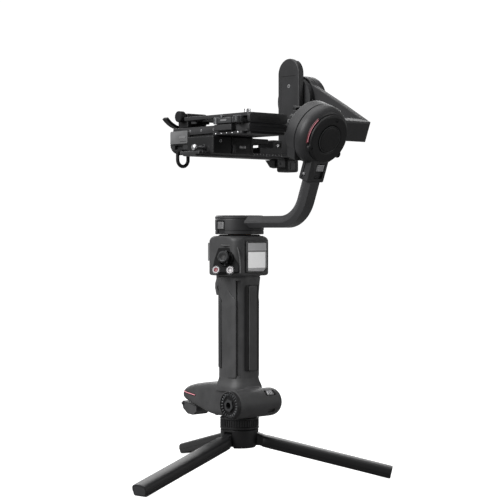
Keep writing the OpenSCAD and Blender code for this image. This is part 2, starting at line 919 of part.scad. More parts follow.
module quick_release_lever() {
  color("#6b6e70")
  translate([-45.2, -20, 0]) difference() {
    union() {
      translate([0, 0, 330.4]) cylinder(r = 3.6, h = 6);
      box([-1.6, 3], [-26, 0], [330.6, 336]);
      translate([0, -30, 330.4]) cylinder(r = 5, h = 6.6);
    }
    for (k = [0:15])
      translate([0, -30, 0]) rotate([0, 0, k * 22.5]) box([4.6, 6], [-0.5, 0.5], [331, 336.6]);
    box([3.4, 12], [-50, 8], [320, 350]);
  }
}

module camera_screw() {
  color("#b9bbbd")
  translate([lens_x, -30, 0]) {
    difference() {
      translate([0, 0, 331.6]) cylinder(r = 9, h = 3.6);
      box([-10, 10], [-1, 1], [331, 333]);
    }
    translate([0, 0, 335]) cylinder(r = 2.5, h = plate_z + 1 - 335);
    translate([0, 0, plate_z + 0.4]) cylinder(r = 3.1, h = 5.2);
  }
}

module lens_support_block() {
  color("#232426")
  difference() {
    union() {
      box([lens_x - 12, lens_x + 12], [42, 56], [331, 345]);
      box([lens_x - 6, lens_x + 6], [55, 61.6], [331, 338.4]);
    }
    box([lens_x - 8.3, lens_x + 8.3], [40, 54.4], [334.2, 338.8]);
    box([lens_x - 2.3, lens_x + 2.3], [58.2, 62], [330, 340]);
    translate([0, 48.5, 341.8]) rod_x(2.08, lens_x - 13, lens_x - 4);
  }
}

module lens_support_knob() {
  color("#2b2c2e")
  translate([lens_x, 48.5, 341.8]) {
    rod_x(2, -13.4, -5);
    difference() {
      rod_x(5.4, -19, -12.4);
      for (k = [0:11]) rotate([k * 30, 0, 0]) box([-18, -13.4], [5, 7], [-0.6, 0.6]);
    }
  }
}

module lens_cradle() {
  color("#1d1e20") {
    translate([lens_x, 0, strap_z]) slab_y(cradle_y[0], cradle_y[1]) intersection() {
      difference() {
        circle(r = strap_r + strap_t / 2, $fn = 96);
        circle(r = strap_r - strap_t / 2, $fn = 96);
      }
      polygon([
        [0, 0], 60 * [-sin(cradle_half), -cos(cradle_half)], 60 * [sin(cradle_half), -cos(cradle_half)]
      ]);
    }
    box([lens_x - 5, lens_x + 5], [62, 65], [331.2, lens_z - lens_r - 0.1]);
    box([lens_x - 2, lens_x + 2], [58.5, 62.2], [332, lens_z - lens_r - 0.1]);
  }
}

tripod_hub();
leg_pins();
leg(0);  // leg_1
leg(1);  // leg_2
leg(2);  // leg_3
tripod_collar();
base_housing();
base_bottom_cover();
rosette_mount();
nose_accent();
release_lever();
base_lock_slider();
grip_shell();
front_grip_pad();
rear_grip_pad();
battery_pack();
head_housing();
thumb_console();
joystick_yoke();
joystick_cap();
record_button();
mode_button();
screen_bezel();
screen_glass();
fill_light_lens();
trigger();
cover_screws();
pan_motor_stator();
pan_housing();
pan_lock_slider();
pan_arm();
roll_stator_housing();
roll_motor_core();
roll_cap_ring();
roll_cap();
roll_accent_arc();
roll_lock_slider();
roll_rotor_housing();
roll_clamp_lever();
roll_arm();
tilt_stator_housing();
tilt_motor_core();
tilt_lock_slider();
tilt_rotor_housing();
tilt_arm();
height_clamp_lever();
cross_slide();
cross_slide_pin();
slide_rail();
slide_lock_knob();
d_ring();
quick_release_plate();
quick_release_lever();
camera_screw();
lens_support_block();
lens_support_knob();
lens_cradle();
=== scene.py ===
"""Looks of a handheld gimbal stabilizer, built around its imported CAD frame. Lengths are in metres."""
import json
import math

import bmesh
import bpy
from mathutils import Matrix, Vector


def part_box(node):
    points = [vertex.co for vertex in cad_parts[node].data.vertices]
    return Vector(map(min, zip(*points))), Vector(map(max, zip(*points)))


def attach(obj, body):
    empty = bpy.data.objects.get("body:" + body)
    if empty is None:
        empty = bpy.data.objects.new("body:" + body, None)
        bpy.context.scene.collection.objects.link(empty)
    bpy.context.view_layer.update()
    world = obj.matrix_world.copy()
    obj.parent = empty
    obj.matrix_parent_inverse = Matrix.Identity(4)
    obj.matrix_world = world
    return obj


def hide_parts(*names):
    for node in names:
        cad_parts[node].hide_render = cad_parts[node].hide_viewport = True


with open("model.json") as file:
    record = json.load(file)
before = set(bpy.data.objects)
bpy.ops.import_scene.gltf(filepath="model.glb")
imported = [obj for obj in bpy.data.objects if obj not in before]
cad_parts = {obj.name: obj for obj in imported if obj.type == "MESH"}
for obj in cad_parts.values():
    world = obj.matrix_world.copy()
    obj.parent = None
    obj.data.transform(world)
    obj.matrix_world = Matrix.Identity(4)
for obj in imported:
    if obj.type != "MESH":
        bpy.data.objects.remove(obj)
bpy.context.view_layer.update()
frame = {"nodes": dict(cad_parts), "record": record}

MM = 0.001
AXES_HEIGHT = 0.360          # where the three motor axes meet
ROLL_RISE = math.radians(21)  # the roll axis climbs towards the lens


# ------------------------------------------------------------------ materials

def new_material(name):
    material = bpy.data.materials.new(name)
    material.use_nodes = True
    nodes = material.node_tree.nodes
    return material, nodes, material.node_tree.links, nodes["Principled BSDF"]


def add_node(nodes, kind, **inputs):
    node = nodes.new(kind)
    for key, value in inputs.items():
        node.inputs[key.replace("_", " ")].default_value = value
    return node


def moulded(name, colour, roughness, grain=0.35, grain_size=0.35, metallic=0.0, worn=0.5, coat=0.0,
            specular=0.35):
    """Textured plastic or powder coat: fine grain, cloudy colour and slightly paler edges."""
    material, nodes, links, shader = new_material(name)
    place = nodes.new("ShaderNodeTexCoord")
    fine = add_node(nodes, "ShaderNodeTexNoise", Scale=1.0 / (grain_size * MM), Detail=3.0, Roughness=0.6)
    cloud = add_node(nodes, "ShaderNodeTexNoise", Scale=70.0, Detail=4.0, Roughness=0.55)
    links.new(place.outputs["Object"], fine.inputs["Vector"])
    links.new(place.outputs["Object"], cloud.inputs["Vector"])
    tone = nodes.new("ShaderNodeValToRGB")
    tone.color_ramp.elements[0].position = 0.35
    tone.color_ramp.elements[0].color = [c * 0.82 for c in colour] + [1]
    tone.color_ramp.elements[1].position = 0.7
    tone.color_ramp.elements[1].color = [c * 1.15 for c in colour] + [1]
    links.new(cloud.outputs["Fac"], tone.inputs["Fac"])
    shape = nodes.new("ShaderNodeNewGeometry")
    edge = nodes.new("ShaderNodeMapRange")
    edge.inputs["From Min"].default_value = 0.53
    edge.inputs["From Max"].default_value = 0.62
    edge.inputs["To Max"].default_value = worn
    links.new(shape.outputs["Pointiness"], edge.inputs["Value"])
    mix = nodes.new("ShaderNodeMixRGB")
    mix.inputs["Color2"].default_value = [min(1, c * 1.9 + 0.012) for c in colour] + [1]
    links.new(edge.outputs["Result"], mix.inputs["Fac"])
    links.new(tone.outputs["Color"], mix.inputs["Color1"])
    links.new(mix.outputs["Color"], shader.inputs["Base Color"])
    rough = nodes.new("ShaderNodeMapRange")
    rough.inputs["To Min"].default_value = max(0.05, roughness - 0.06)
    rough.inputs["To Max"].default_value = min(1.0, roughness + 0.08)
    links.new(fine.outputs["Fac"], rough.inputs["Value"])
    links.new(rough.outputs["Result"], shader.inputs["Roughness"])
    bump = add_node(nodes, "ShaderNodeBump", Strength=grain, Distance=0.06 * MM)
    links.new(fine.outputs["Fac"], bump.inputs["Height"])
    links.new(bump.outputs["Normal"], shader.inputs["Normal"])
    shader.inputs["Metallic"].default_value = metallic
    shader.inputs["Specular IOR Level"].default_value = specular
    if coat:
        shader.inputs["Coat Weight"].default_value = coat
        shader.inputs["Coat Roughness"].default_value = 0.25
    return material


def brushed(name, colour, roughness, direction=(1, 40, 40)):
    """Turned or brushed metal: long fine scratches across one direction."""
    material, nodes, links, shader = new_material(name)
    place = nodes.new("ShaderNodeTexCoord")
    stretch = nodes.new("ShaderNodeMapping")
    stretch.inputs["Scale"].default_value = direction
    scratch = add_node(nodes, "ShaderNodeTexNoise", Scale=120.0, Detail=5.0, Roughness=0.65)
    links.new(place.outputs["Object"], stretch.inputs["Vector"])
    links.new(stretch.outputs["Vector"], scratch.inputs["Vector"])
    tone = nodes.new("ShaderNodeValToRGB")
    tone.color_ramp.elements[0].color = [c * 0.75 for c in colour] + [1]
    tone.color_ramp.elements[1].color = [min(1, c * 1.15) for c in colour] + [1]
    links.new(scratch.outputs["Fac"], tone.inputs["Fac"])
    links.new(tone.outputs["Color"], shader.inputs["Base Color"])
    rough = nodes.new("ShaderNodeMapRange")
    rough.inputs["To Min"].default_value = roughness * 0.75
    rough.inputs["To Max"].default_value = roughness * 1.25
    links.new(scratch.outputs["Fac"], rough.inputs["Value"])
    links.new(rough.outputs["Result"], shader.inputs["Roughness"])
    bump = add_node(nodes, "ShaderNodeBump", Strength=0.15, Distance=0.02 * MM)
    links.new(scratch.outputs["Fac"], bump.inputs["Height"])
    links.new(bump.outputs["Normal"], shader.inputs["Normal"])
    shader.inputs["Metallic"].default_value = 1.0
    return material


def glowing(name, colour, strength, roughness=0.25):
    """A lit display surface, a frosted light window or a painted sheen line, with a faint cell pattern."""
    material, nodes, links, shader = new_material(name)
    place = nodes.new("ShaderNodeTexCoord")
    cells = add_node(nodes, "ShaderNodeTexVoronoi", Scale=2200.0)
    links.new(place.outputs["Object"], cells.inputs["Vector"])
    tone = nodes.new("ShaderNodeValToRGB")
    tone.color_ramp.elements[0].color = [c * 0.94 for c in colour] + [1]
    tone.color_ramp.elements[1].color = list(colour) + [1]
    links.new(cells.outputs["Distance"], tone.inputs["Fac"])
    links.new(tone.outputs["Color"], shader.inputs["Base Color"])
    links.new(tone.outputs["Color"], shader.inputs["Emission Color"])
    shader.inputs["Emission Strength"].default_value = strength
    shader.inputs["Roughness"].default_value = roughness
    shader.inputs["Coat Weight"].default_value = 0.6
    shader.inputs["Coat Roughness"].default_value = 0.08
    return material


CHARCOAL = (0.038, 0.038, 0.039)
BLACK = (0.0045, 0.0045, 0.005)
MATERIALS = {
    "shell": moulded("shell_plastic", CHARCOAL, 0.52, worn=0.35),
    "deep": moulded("deep_plastic", BLACK, 0.5, grain=0.3, worn=0.5, specular=0.25),
    "console": moulded("console_plastic", BLACK, 0.68, grain=0.3, worn=0.2, specular=0.12),
    "metal": moulded("coated_metal", (0.016, 0.016, 0.017), 0.46, grain=0.25, grain_size=0.22, metallic=0.1),
    "leg": moulded("leg_coat", (0.005, 0.005, 0.0055), 0.42, grain=0.25, grain_size=0.25, metallic=0.1,
                   specular=0.3),
    "rubber": moulded("soft_rubber", (0.020, 0.020, 0.021), 0.72, grain=0.55, grain_size=0.5, worn=0.3),
    "anodised": moulded("anodised", (0.05, 0.051, 0.053), 0.36, grain=0.15, grain_size=0.15, metallic=0.75,
                        worn=0.7),
    "dark_anodised": moulded("dark_anodised", (0.014, 0.014, 0.015), 0.34, grain=0.15, grain_size=0.15,
                             metallic=0.6, worn=0.8),
    "steel": brushed("bare_steel", (0.62, 0.62, 0.63), 0.28),
    "silver": brushed("satin_silver", (0.34, 0.34, 0.345), 0.42, direction=(10, 10, 40)),
    "button": brushed("button_metal", (0.19, 0.185, 0.188), 0.5, direction=(10, 10, 40)),
    "copper": brushed("winding_copper", (0.6, 0.28, 0.13), 0.35, direction=(40, 40, 3)),
    "red": moulded("red_trim", (0.055, 0.003, 0.006), 0.35, grain=0.1, worn=0.2, coat=0.4),
    "glass": moulded("screen_cover", (0.02, 0.02, 0.021), 0.12, grain=0.02, worn=0.0, coat=1.0),
    "pale": moulded("pale_plastic", (0.09, 0.09, 0.092), 0.5, worn=0.35),
    "diffuser": glowing("light_window", (0.8, 0.79, 0.74), 0.15, roughness=0.55),
    "lit": glowing("lit_panel", (0.42, 0.42, 0.42), 0.75),
    "dim": glowing("status_strip", (0.22, 0.22, 0.225), 0.2),
    # painted sheen: a faintly glowing pink line laid inside the red trims stands in for the highlight along them;
    # the trims hold no lamp
    "glow": glowing("painted_sheen_line", (0.75, 0.30, 0.35), 0.35, roughness=0.4),
    "red_soft": moulded("red_cap", (0.16, 0.012, 0.022), 0.4, grain=0.1, worn=0.2),
    "wrap": moulded("battery_wrap", (0.04, 0.10, 0.30), 0.3, grain=0.05, worn=0.2),
}
MATERIAL_OF_SLOT = {
    "dark_plastic": "shell", "deep_plastic": "deep", "dark_metal": "metal", "leg_metal": "leg",
    "grip_rubber": "rubber", "grey_metal": "anodised", "copper": "copper", "steel": "steel", "red": "red",
    "button_silver": "silver", "glass": "glass", "diffuser": "diffuser", "cell": "wrap",
}
SLOT_OF_NODE = {part["node"]: part["material_slot"] for part in frame["record"]["subparts"]}


SEAM_WELD = 1e-6
CAD_ROUND = 0.5 * MM
CAD_ROUND_SHARE = 0.06  # of a node's smallest side, where that is less
SHARP_ANGLE = math.radians(35)


def dress_cad_nodes():
    """Gives every CAD node its material, welded seams and a small round on its sharp edges."""
    for name, piece in frame["nodes"].items():
        piece.data.materials.clear()
        piece.data.materials.append(MATERIALS[MATERIAL_OF_SLOT[SLOT_OF_NODE[name]]])
        weld = piece.modifiers.new("weld", "WELD")
        weld.merge_threshold = SEAM_WELD
        low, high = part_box(name)
        round_off = piece.modifiers.new("round", "BEVEL")
        round_off.width = min(CAD_ROUND, CAD_ROUND_SHARE * min(high - low))
        round_off.segments = 2
        round_off.limit_method = "ANGLE"
        round_off.angle_limit = SHARP_ANGLE
        round_off.harden_normals = False
        for polygon in piece.data.polygons:
            polygon.use_smooth = True
        normals = piece.modifiers.new("normals", "WEIGHTED_NORMAL")
        normals.keep_sharp = True


# ------------------------------------------------------------------ mesh tools

SLOT_OF_MATERIAL = {look: slot for slot, look in MATERIAL_OF_SLOT.items()}
SLOT_OF_MATERIAL.update(dark_anodised="grey_metal", pale="dark_plastic", console="deep_plastic",
                        button="button_silver", lit="glass", dim="glass", glow="red", red_soft="red")


def mm(*values):
    return Vector([v * MM for v in values])


def add_piece(name, points, faces):
    mesh = bpy.data.meshes.new(name)
    mesh.from_pydata([tuple(p) for p in points], [], faces)
    clean = bmesh.new()
    clean.from_mesh(mesh)
    bmesh.ops.remove_doubles(clean, verts=clean.verts, dist=1e-7)
    bmesh.ops.recalc_face_normals(clean, faces=clean.faces)
    clean.to_mesh(mesh)
    clean.free()
    piece = bpy.data.objects.new(name, mesh)
    bpy.context.scene.collection.objects.link(piece)
    return piece


def loft(name, rings):
    """Skin over rings of equally many points, with both ends closed."""
    count = len(rings[0])
    points = [p for ring in rings for p in ring]
    faces = [tuple(range(count)), tuple(range(len(points) - count, len(points)))]
    for k in range(len(rings) - 1):
        for i in range(count):
            j = (i + 1) % count
            faces.append((k * count + i, k * count + j, (k + 1) * count + j, (k + 1) * count + i))
    return add_piece(name, points, faces)


def rounded_outline(width, depth, radius, steps=6, centre=(0, 0)):
    """Millimetre points round a rectangle with round corners."""
    points = []
    for turn, (sx, sy) in enumerate(((1, 1), (-1, 1), (-1, -1), (1, -1))):
        middle = (centre[0] + sx * (width / 2 - radius), centre[1] + sy * (depth / 2 - radius))
        for k in range(steps + 1):
            angle = math.radians(90 * turn + 90 * k / steps)
            points.append((middle[0] + radius * math.cos(angle), middle[1] + radius * math.sin(angle)))
    return points


def round_corners(corners, depth, steps=5):
    """A polygon's outline with an arc at every corner.

    The arc's centre lies depth millimetres inside both sides. Its radius is always 1 mm, because slerp gives a unit
    vector, so the whole outline lies depth less 1 mm inside the polygon (or outside it, if depth is under 1).
    """
    points = []
    count = len(corners)
    for i, corner in enumerate(corners):
        here = Vector(corner)
        back = (Vector(corners[i - 1]) - here).normalized()
        ahead = (Vector(corners[(i + 1) % count]) - here).normalized()
        half = back.angle(ahead) / 2
        reach = depth / math.tan(half)
        centre = here + (back + ahead).normalized() * (depth / math.sin(half))
        first, last = here + back * reach - centre, here + ahead * reach - centre
        for k in range(steps + 1):
            points.append(tuple(centre + first.slerp(last,
                                                     k / steps) if first.angle(last) > 0.01 else centre + first))
    return points


def prism(name, outline, low, high, place=Matrix()):
    """A millimetre outline in x and y, made solid from one height to another."""
    return loft(name, [[place @ mm(x, y, z) for x, y in outline] for z in (low, high)])


def block(name, low, high, place=Matrix()):
    outline = [(low[0], low[1]), (high[0], low[1]), (high[0], high[1]), (low[0], high[1])]
    return prism(name, outline, low[2], high[2], place)


def lathe(name, profile, place=Matrix(), steps=96):
    """A solid turned about the local z axis from (radius, height) points in millimetres."""
    rings = []
    for radius, height in profile:
        turns = [2 * math.pi * k / steps for k in range(steps)]
        rings.append([place @ mm(radius * math.cos(a), radius * math.sin(a), height) for a in turns])
    return loft(name, rings)


def ring_lathe(name, profile, place=Matrix(), steps=96):
    """A closed ring turned about the local z axis from a closed (radius, height) profile."""
    count = len(profile)
    points, faces = [], []
    for k in range(steps):
        angle = 2 * math.pi * k / steps
        points += [place @ mm(r * math.cos(angle), r * math.sin(angle), z) for r, z in profile]
    for k in range(steps):
        n = (k + 1) % steps
        for i in range(count):
            j = (i + 1) % count
            faces.append((k * count + i, k * count + j, n * count + j, n * count + i))
    return add_piece(name, points, faces)


def settle(piece):
    """Makes the piece's modifiers part of its mesh."""
    bpy.context.view_layer.update()
    shape = bpy.data.meshes.new_from_object(piece.evaluated_get(bpy.context.evaluated_depsgraph_get()))
    piece.modifiers.clear()
    piece.data = shape
    return piece


def join(name, *parts):
    """Several pieces as one object."""
    whole = bmesh.new()
    for part in parts:
        whole.from_mesh(part.data)
        bpy.data.objects.remove(part)
    mesh = bpy.data.meshes.new(name)
    whole.to_mesh(mesh)
    whole.free()
    piece = bpy.data.objects.new(name, mesh)
    bpy.context.scene.collection.objects.link(piece)
    return piece


def melt(piece, voxel=0.7, passes=6):
    """Fuses overlapping solids into one skin with soft fillets where they meet."""
    fuse = piece.modifiers.new("fuse", "REMESH")
    fuse.mode = "VOXEL"
    fuse.voxel_size = voxel * MM
    soften = piece.modifiers.new("soften", "SMOOTH")
    soften.factor = 0.5
    soften.iterations = passes
    return settle(piece)


def carve(piece, *cutters, operation="DIFFERENCE"):
    """Cuts each cutter's shape out of the piece."""
    for cutter in cutters:
        change = piece.modifiers.new("cut", "BOOLEAN")
        change.operation = operation
        change.solver = "EXACT"
        change.object = cutter
        settle(piece)
        bpy.data.objects.remove(cutter)
    return piece


def soften_edges(piece, width, segments=3, angle=30):
    edges = piece.modifiers.new("round", "BEVEL")
    edges.width = width * MM
    edges.segments = segments
    edges.limit_method = "ANGLE"
    edges.angle_limit = math.radians(angle)
    return settle(piece)


def dress(piece, look, body, *nodes, crease=38):
    """Gives a finished piece its material and its body, and lets it stand for CAD nodes."""
    piece.data.materials.clear()
    piece.data.materials.append(MATERIALS[look])
    for polygon in piece.data.polygons:
        polygon.use_smooth = True
    piece.data.set_sharp_from_angle(angle=math.radians(crease))
    normals = piece.modifiers.new("normals", "WEIGHTED_NORMAL")
    normals.keep_sharp = True
    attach(piece, body)
    if nodes:
        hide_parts(*nodes)
    return piece


def towards(axis):
    """A rotation that takes local z to the given direction."""
    return Vector((0, 0, 1)).rotation_difference(Vector(axis)).to_matrix().to_4x4()


def at(x, y, z):
    return Matrix.Translation(mm(x, y, z))


def turn(degrees, axis="Z"):
    return Matrix.Rotation(math.radians(degrees), 4, axis)


ROLL_FRAME = Matrix.Translation((0, 0, AXES_HEIGHT)) @ Matrix.Rotation(ROLL_RISE, 4, "X")
BACK_ALONG_ROLL = ROLL_FRAME @ turn(90, "X")
CONSOLE = turn(26) @ at(-27.9, 2.4, 206.5) @ turn(-75, "Y")


def slab(name, points, low, high, axis="x", place=Matrix()):
    """A millimetre outline in the plane across an axis, made solid along it."""
    if axis == "x":
        rings = [[place @ mm(h, a, b) for a, b in points] for h in (low, high)]
    else:
        rings = [[place @ mm(a, h, b) for a, b in points] for h in (low, high)]
    return loft(name, rings)


def soft_block(name, low, high, width, place=Matrix(), segments=3):
    return soften_edges(block(name, low, high, place), width, segments)


def screw(name, body, place, radius=1.5, look="steel"):
    """A small countersunk screw head with a hexagon socket, its top at local z = 0."""
    profile = [(0.1, -1.0), (radius, -1.0), (radius, -0.15), (radius - 0.15, 0), (0.1, 0)]
    top = lathe(name, profile, place, 32)
    hexagon = [(radius * 0.5 * math.cos(math.radians(60 * k)), radius * 0.5 * math.sin(math.radians(60 * k)))
               for k in range(6)]
    carve(top, prism("socket", hexagon, -0.6, 1, place))
    return dress(top, look, body)


def knurled(name, radius, low, high, place, count=28, depth=0.5, chamfer=0.6):
    """A turned knob with straight knurling and chamfered ends."""
    step = 360 / count
    outline = []
    for k in range(count):
        for offset, r in ((0.0, radius - depth), (0.2, radius - depth), (0.35, radius), (0.75, radius),
                          (0.9, radius - depth)):
            angle = math.radians(step * (k + offset))
            outline.append((r * math.cos(angle), r * math.sin(angle)))
    shrink = [(x * (1 - chamfer / radius), y * (1 - chamfer / radius)) for x, y in outline]
    rings = [[place @ mm(x, y, z) for x, y in ring] for ring, z in (
        (shrink, low), (outline, low + chamfer), (outline, high - chamfer), (shrink, high))]
    return loft(name, rings)


# ------------------------------------------------------------------ tripod

LEG_SLOPE = 13
LEG_LENGTH = (144.5 - 14.5) / math.cos(math.radians(LEG_SLOPE))


def tripod_hub():
    profile = [(2, 26.6), (15.4, 26.6), (16.4, 27.2), (17.2, 28.6), (17.8, 33), (18.2, 40.5), (18.2, 43.4),
               (17.7, 44), (2, 44)]
    hub = lathe("tripod_hub_body", profile)
    for n in range(3):
        carve(hub, block("slot", (7.6, -4.8, 20), (22, 4.8, 42.2), turn(71 + 120 * n)))
    dress(soften_edges(hub, 0.35, 2), "leg", "handle", "tripod_hub")


def tripod_collar():
    profile = [(3, 44.4), (18.1, 44.4), (18.6, 44.9), (18.6, 46.4), (17.8, 47.0), (17.8, 53.2), (18.6, 53.8),
               (18.6, 54.7),
               (18.1, 55.2), (3, 55.2)]
    parts = [lathe("ring", profile)]
    for k in range(48):
        outline = [(17.2, -0.66), (18.5, -0.38), (18.5, 0.38), (17.2, 0.66)]
        parts.append(prism("tooth", outline, 47.3, 52.9, turn(360 * k / 48)))
    parts.append(lathe("spindle", [(0.5, 28), (4.9, 28), (4.9, 45), (0.5, 45)], steps=40))
    parts.append(lathe("stud", [(0.5, 55), (4.7, 55), (4.7, 66.4), (4.1, 67), (0.5, 67)], steps=40))
    dress(join("tripod_collar_body", *parts), "leg", "tripod_ring", "tripod_collar")


def leg_section(wide, tall):
    """Across a leg: crowned on top, with a shallow ledge along each side and a narrower underside."""
    shape = ((1.0, 0.06), (0.985, 0.42), (0.90, 0.72), (0.72, 0.89), (0.40, 0.98), (0.0, 1.0),
             (-0.40, 0.98), (-0.72, 0.89), (-0.90, 0.72), (-0.985, 0.42), (-1.0, 0.06),
             (-1.0, -0.20), (-0.93, -0.30), (-0.93, -0.62), (-0.84, -0.92), (-0.74, -1.0),
             (0.74, -1.0), (0.84, -0.92), (0.93, -0.62), (0.93, -0.30), (1.0, -0.20))
    return [(8.5 * x * wide, 5.5 * z * tall) for x, z in shape]


def tripod_leg(n):
    name = f"leg_{n + 1}"
    place = turn(71 + 120 * n) @ at(14.5, 0, 35) @ turn(LEG_SLOPE, "Y")
    stations = ((5.0, 0.50, 0.84), (7.2, 0.80, 0.94), (10.5, 0.95, 0.99), (15, 1, 1), (50, 1, 1), (90, 1, 1),
                (LEG_LENGTH - 1.2, 1, 1), (LEG_LENGTH - 0.3, 0.975, 0.965), (LEG_LENGTH, 0.93, 0.90))
    rings = [[place @ mm(along, y, z) for y, z in leg_section(wide, tall)] for along, wide, tall in stations]
    knuckle = []
    for angle in range(75, 286, 15):
        knuckle.append((6.2 * math.cos(math.radians(angle)), 6.2 * math.sin(math.radians(angle))))
    knuckle += [(10, -4.8), (10, 5.0)]
    tongue = soften_edges(slab("tongue", knuckle, -4.25, 4.25, "y", place), 0.5, 2)
    bar = loft(name + "_body", rings)
    leg = carve(bar, tongue, operation="UNION")
    under = block("under", (-200, -200, -20), (200, 200, 0))
    cheeks = [block("cheek", (2, min(y, 3 * y), -9), (8.9, max(y, 3 * y), 3.2), place) for y in (-4.3, 4.3)]
    dress(carve(leg, under, *cheeks), "leg", name, name)
    plug = [[place @ mm(LEG_LENGTH + d, y * s, z * s) for y, z in leg_section(0.8, 0.74)]
            for d, s in ((-2, 1), (-0.05, 1), (0.1, 0.96))]
    dress(loft(name + "_plug", plug), "rubber", name)


# ------------------------------------------------------------------ base

BARREL = at(0, -24, 70.5)
NOSE_SPLIT = at(0, 48, 71.0) @ turn(5.0, "X")


def nose_half_width(y):
    table = ((-30, 10), (-22, 11.5), (-12, 15.2), (4, 16.8), (16, 16.8), (30, 15.8), (42, 14.6), (54, 13.3),
             (64, 12.0),
             (70, 10.6), (73.6, 8.8), (75, 7.2))
    for (y0, w0), (y1, w1) in zip(table, table[1:]):
        if y <= y1:
            return w0 + (w1 - w0) * (y - y0) / (y1 - y0)
    return table[-1][1]


def base_body():
    """Nose, cross barrel and neck, moulded as one."""
    rings = []
    for y, bottom, top, corner in ((-22, 57.5, 85, 7), (-12, 56, 87, 6.5), (4, 55.8, 87.2, 6),
                                   (20, 55.7, 87.2, 6), (30, 56.8, 86.6, 6),
                                   (42, 59.4, 85.2, 6), (54, 62, 83.2, 6), (64, 64.2, 80.8, 6),
                                   (70, 65.6, 78.4, 5.4),
                                   (73.6, 67.2, 75.6, 3.8), (75, 68.8, 73.6, 2.2)):
        half = nose_half_width(y)
        outline = rounded_outline(2 * half, top - bottom, min(corner, half - 0.5), 6, (0, (top + bottom) / 2))
        rings.append([mm(x, y, z) for x, z in outline])
    nose = loft("nose", rings)
    across = BARREL @ towards((1, 0, 0))
    profile = [(0.5, -31), (12.9, -31), (13.4, -30.5), (13.4, 16)]
    profile += [(13.4 - 6.4 * (1 - math.cos(a)), 16 + 8.5 * math.sin(a)) for a in (0.3, 0.6, 0.9, 1.2, 1.45,
                                                                                   1.57)]
    barrel = lathe("barrel", profile + [(0.5, 24.5)], across)
    rings = []
    for z, grow in ((80, 3.6), (85, 3.0), (87.5, 1.9), (89.5, 0.9), (92, 0.2), (94, 0)):
        rings.append([mm(x, y, z) for x, y in rounded_outline(31 + 2 * grow, 37 + 2 * grow, 12 + grow, 8, (0,
                                                                                                           1))])
    body = melt(join("base_body", nose, barrel, loft("neck", rings)), 0.65, 9)
    slider_place = at(9, -24, 70.5) @ turn(43, "X")
    lower_place = at(9, -24, 70.5) @ turn(123, "X")
    carve(body,
          soften_edges(prism("pocket", rounded_outline(12.8, 6.6, 1.4), 10.7, 18, slider_place), 0.3, 2),
          prism("lower", rounded_outline(8.4, 4.4, 1.0), 11.6, 18, lower_place),
          lathe("well", [(0.1, 50), (5.3, 50), (5.3, 68), (0.1, 68)], steps=48),
          lathe("bore", [(0.1, -36), (3.1, -36), (3.1, -22), (0.1, -22)], across, 48))
    # the red strip's channel, and the parting line behind it
    steps = [y / 2 for y in range(98, 150, 4)] + [74.6]
    inner = [(nose_half_width(y) - 1.9, y - (1.9 if y > 72 else 0)) for y in steps]
    core = prism("core", [(x, y - 48) for x, y in inner] + [(-x, y - 48) for x, y in reversed(inner)], -2, 4,
                 NOSE_SPLIT)
    channel = carve(block("channel", (-22, 1, 0), (22, 34, 2.3), NOSE_SPLIT), core)
    carve(body, channel)
    dress(body, "shell", "handle", "base_housing")
    for side, name in ((-1, "nose_strip_left"), (1, "nose_strip_right")):
        rows = [(nose_half_width(y), y - 48) for y in steps[1:-1]]
        outline = [(side * (x - 0.45), y) for x, y in rows] + [(side * (x - 2.2), y - 0.2) for x,
                                                               y in reversed(rows)]
        strip = soften_edges(prism(name, outline, 0.25, 2.05, NOSE_SPLIT), 0.2, 2)
        dress(strip, "red", "handle", *(("nose_accent",) if side < 0 else ()))
        # painted sheen: a faintly glowing pink line along each red strip stands in for the highlight on its glossy
        # face
        outline = [(side * (x - 0.32), y) for x, y in rows] + [(side * (x - 1.0), y - 0.2) for x,
                                                               y in reversed(rows)]
        glow = prism(name + "_glow", outline, 0.85, 1.45, NOSE_SPLIT)
        dress(glow, "glow", "handle")


def base_slider():
    place = at(9, -24, 70.5) @ turn(43, "X")
    parts = [soften_edges(prism("cap", rounded_outline(7.4, 5.6, 0.9), 11.0, 13.5, place), 0.35, 2)]
    for k in range(-1, 2):
        parts.append(prism("rib", rounded_outline(0.8, 4.4, 0.35, 3, (k * 2, 0)), 13.4, 14.0, place))
    dress(join("base_slider_cap", *parts), "silver", "base_lock", "base_lock_slider")


def rosette():
    """Toothed ring for a side handle: pads in a dark channel round a hexagonal boss."""
    out = at(-31, -24, 70.5) @ towards((-1, 0, 0))
    profile = [(3.15, -0.4), (13, -0.4), (13, 3.2), (12.6, 3.6), (11.9, 3.6), (11.5, 2.2), (6.6, 2.2),
               (6.4, 2.6), (3.15, 2.6)]
    dress(ring_lathe("rosette_channel", profile, out), "deep", "handle", "rosette_mount")
    parts = []
    for k in range(24):
        outline = [(8.6, -0.5), (11.4, -0.9), (11.4, 0.9), (8.6, 0.5)]
        parts.append(soften_edges(prism("pad", outline, 1.9, 3.5, out @ turn(15 * k)), 0.22, 1))
    hexagon = [(6.1 * math.cos(math.radians(60 * k + 15)),
                6.1 * math.sin(math.radians(60 * k + 15))) for k in range(6)]
    boss = soften_edges(prism("boss", hexagon, 1.8, 4.3, out), 0.35, 2)
    parts.append(carve(boss, lathe("hole", [(0.1, -1), (3.15, -1), (3.15, 6), (0.1, 6)], out, 48)))
    dress(join("rosette_teeth", *parts), "anodised", "handle")


def base_cover():
    """Bottom cover: a plate with a soft rim and its threaded boss."""
    outline = rounded_outline(27.6, 41.6, 5, 6, (0, 5))
    plate = soften_edges(prism("base_cover_plate", outline, 55.6, 57.9), 0.4, 2)
    boss = lathe("boss", [(4.8, 55.6), (9, 55.6), (9, 69.8), (4.8, 69.8)], steps=64)
    hole = lathe("hole", [(0.1, 54), (4.8, 54), (4.8, 69), (0.1, 69)], steps=48)
    dress(carve(join("base_cover", plate, boss), hole), "deep", "handle", "base_bottom_cover")


# ------------------------------------------------------------------ grip

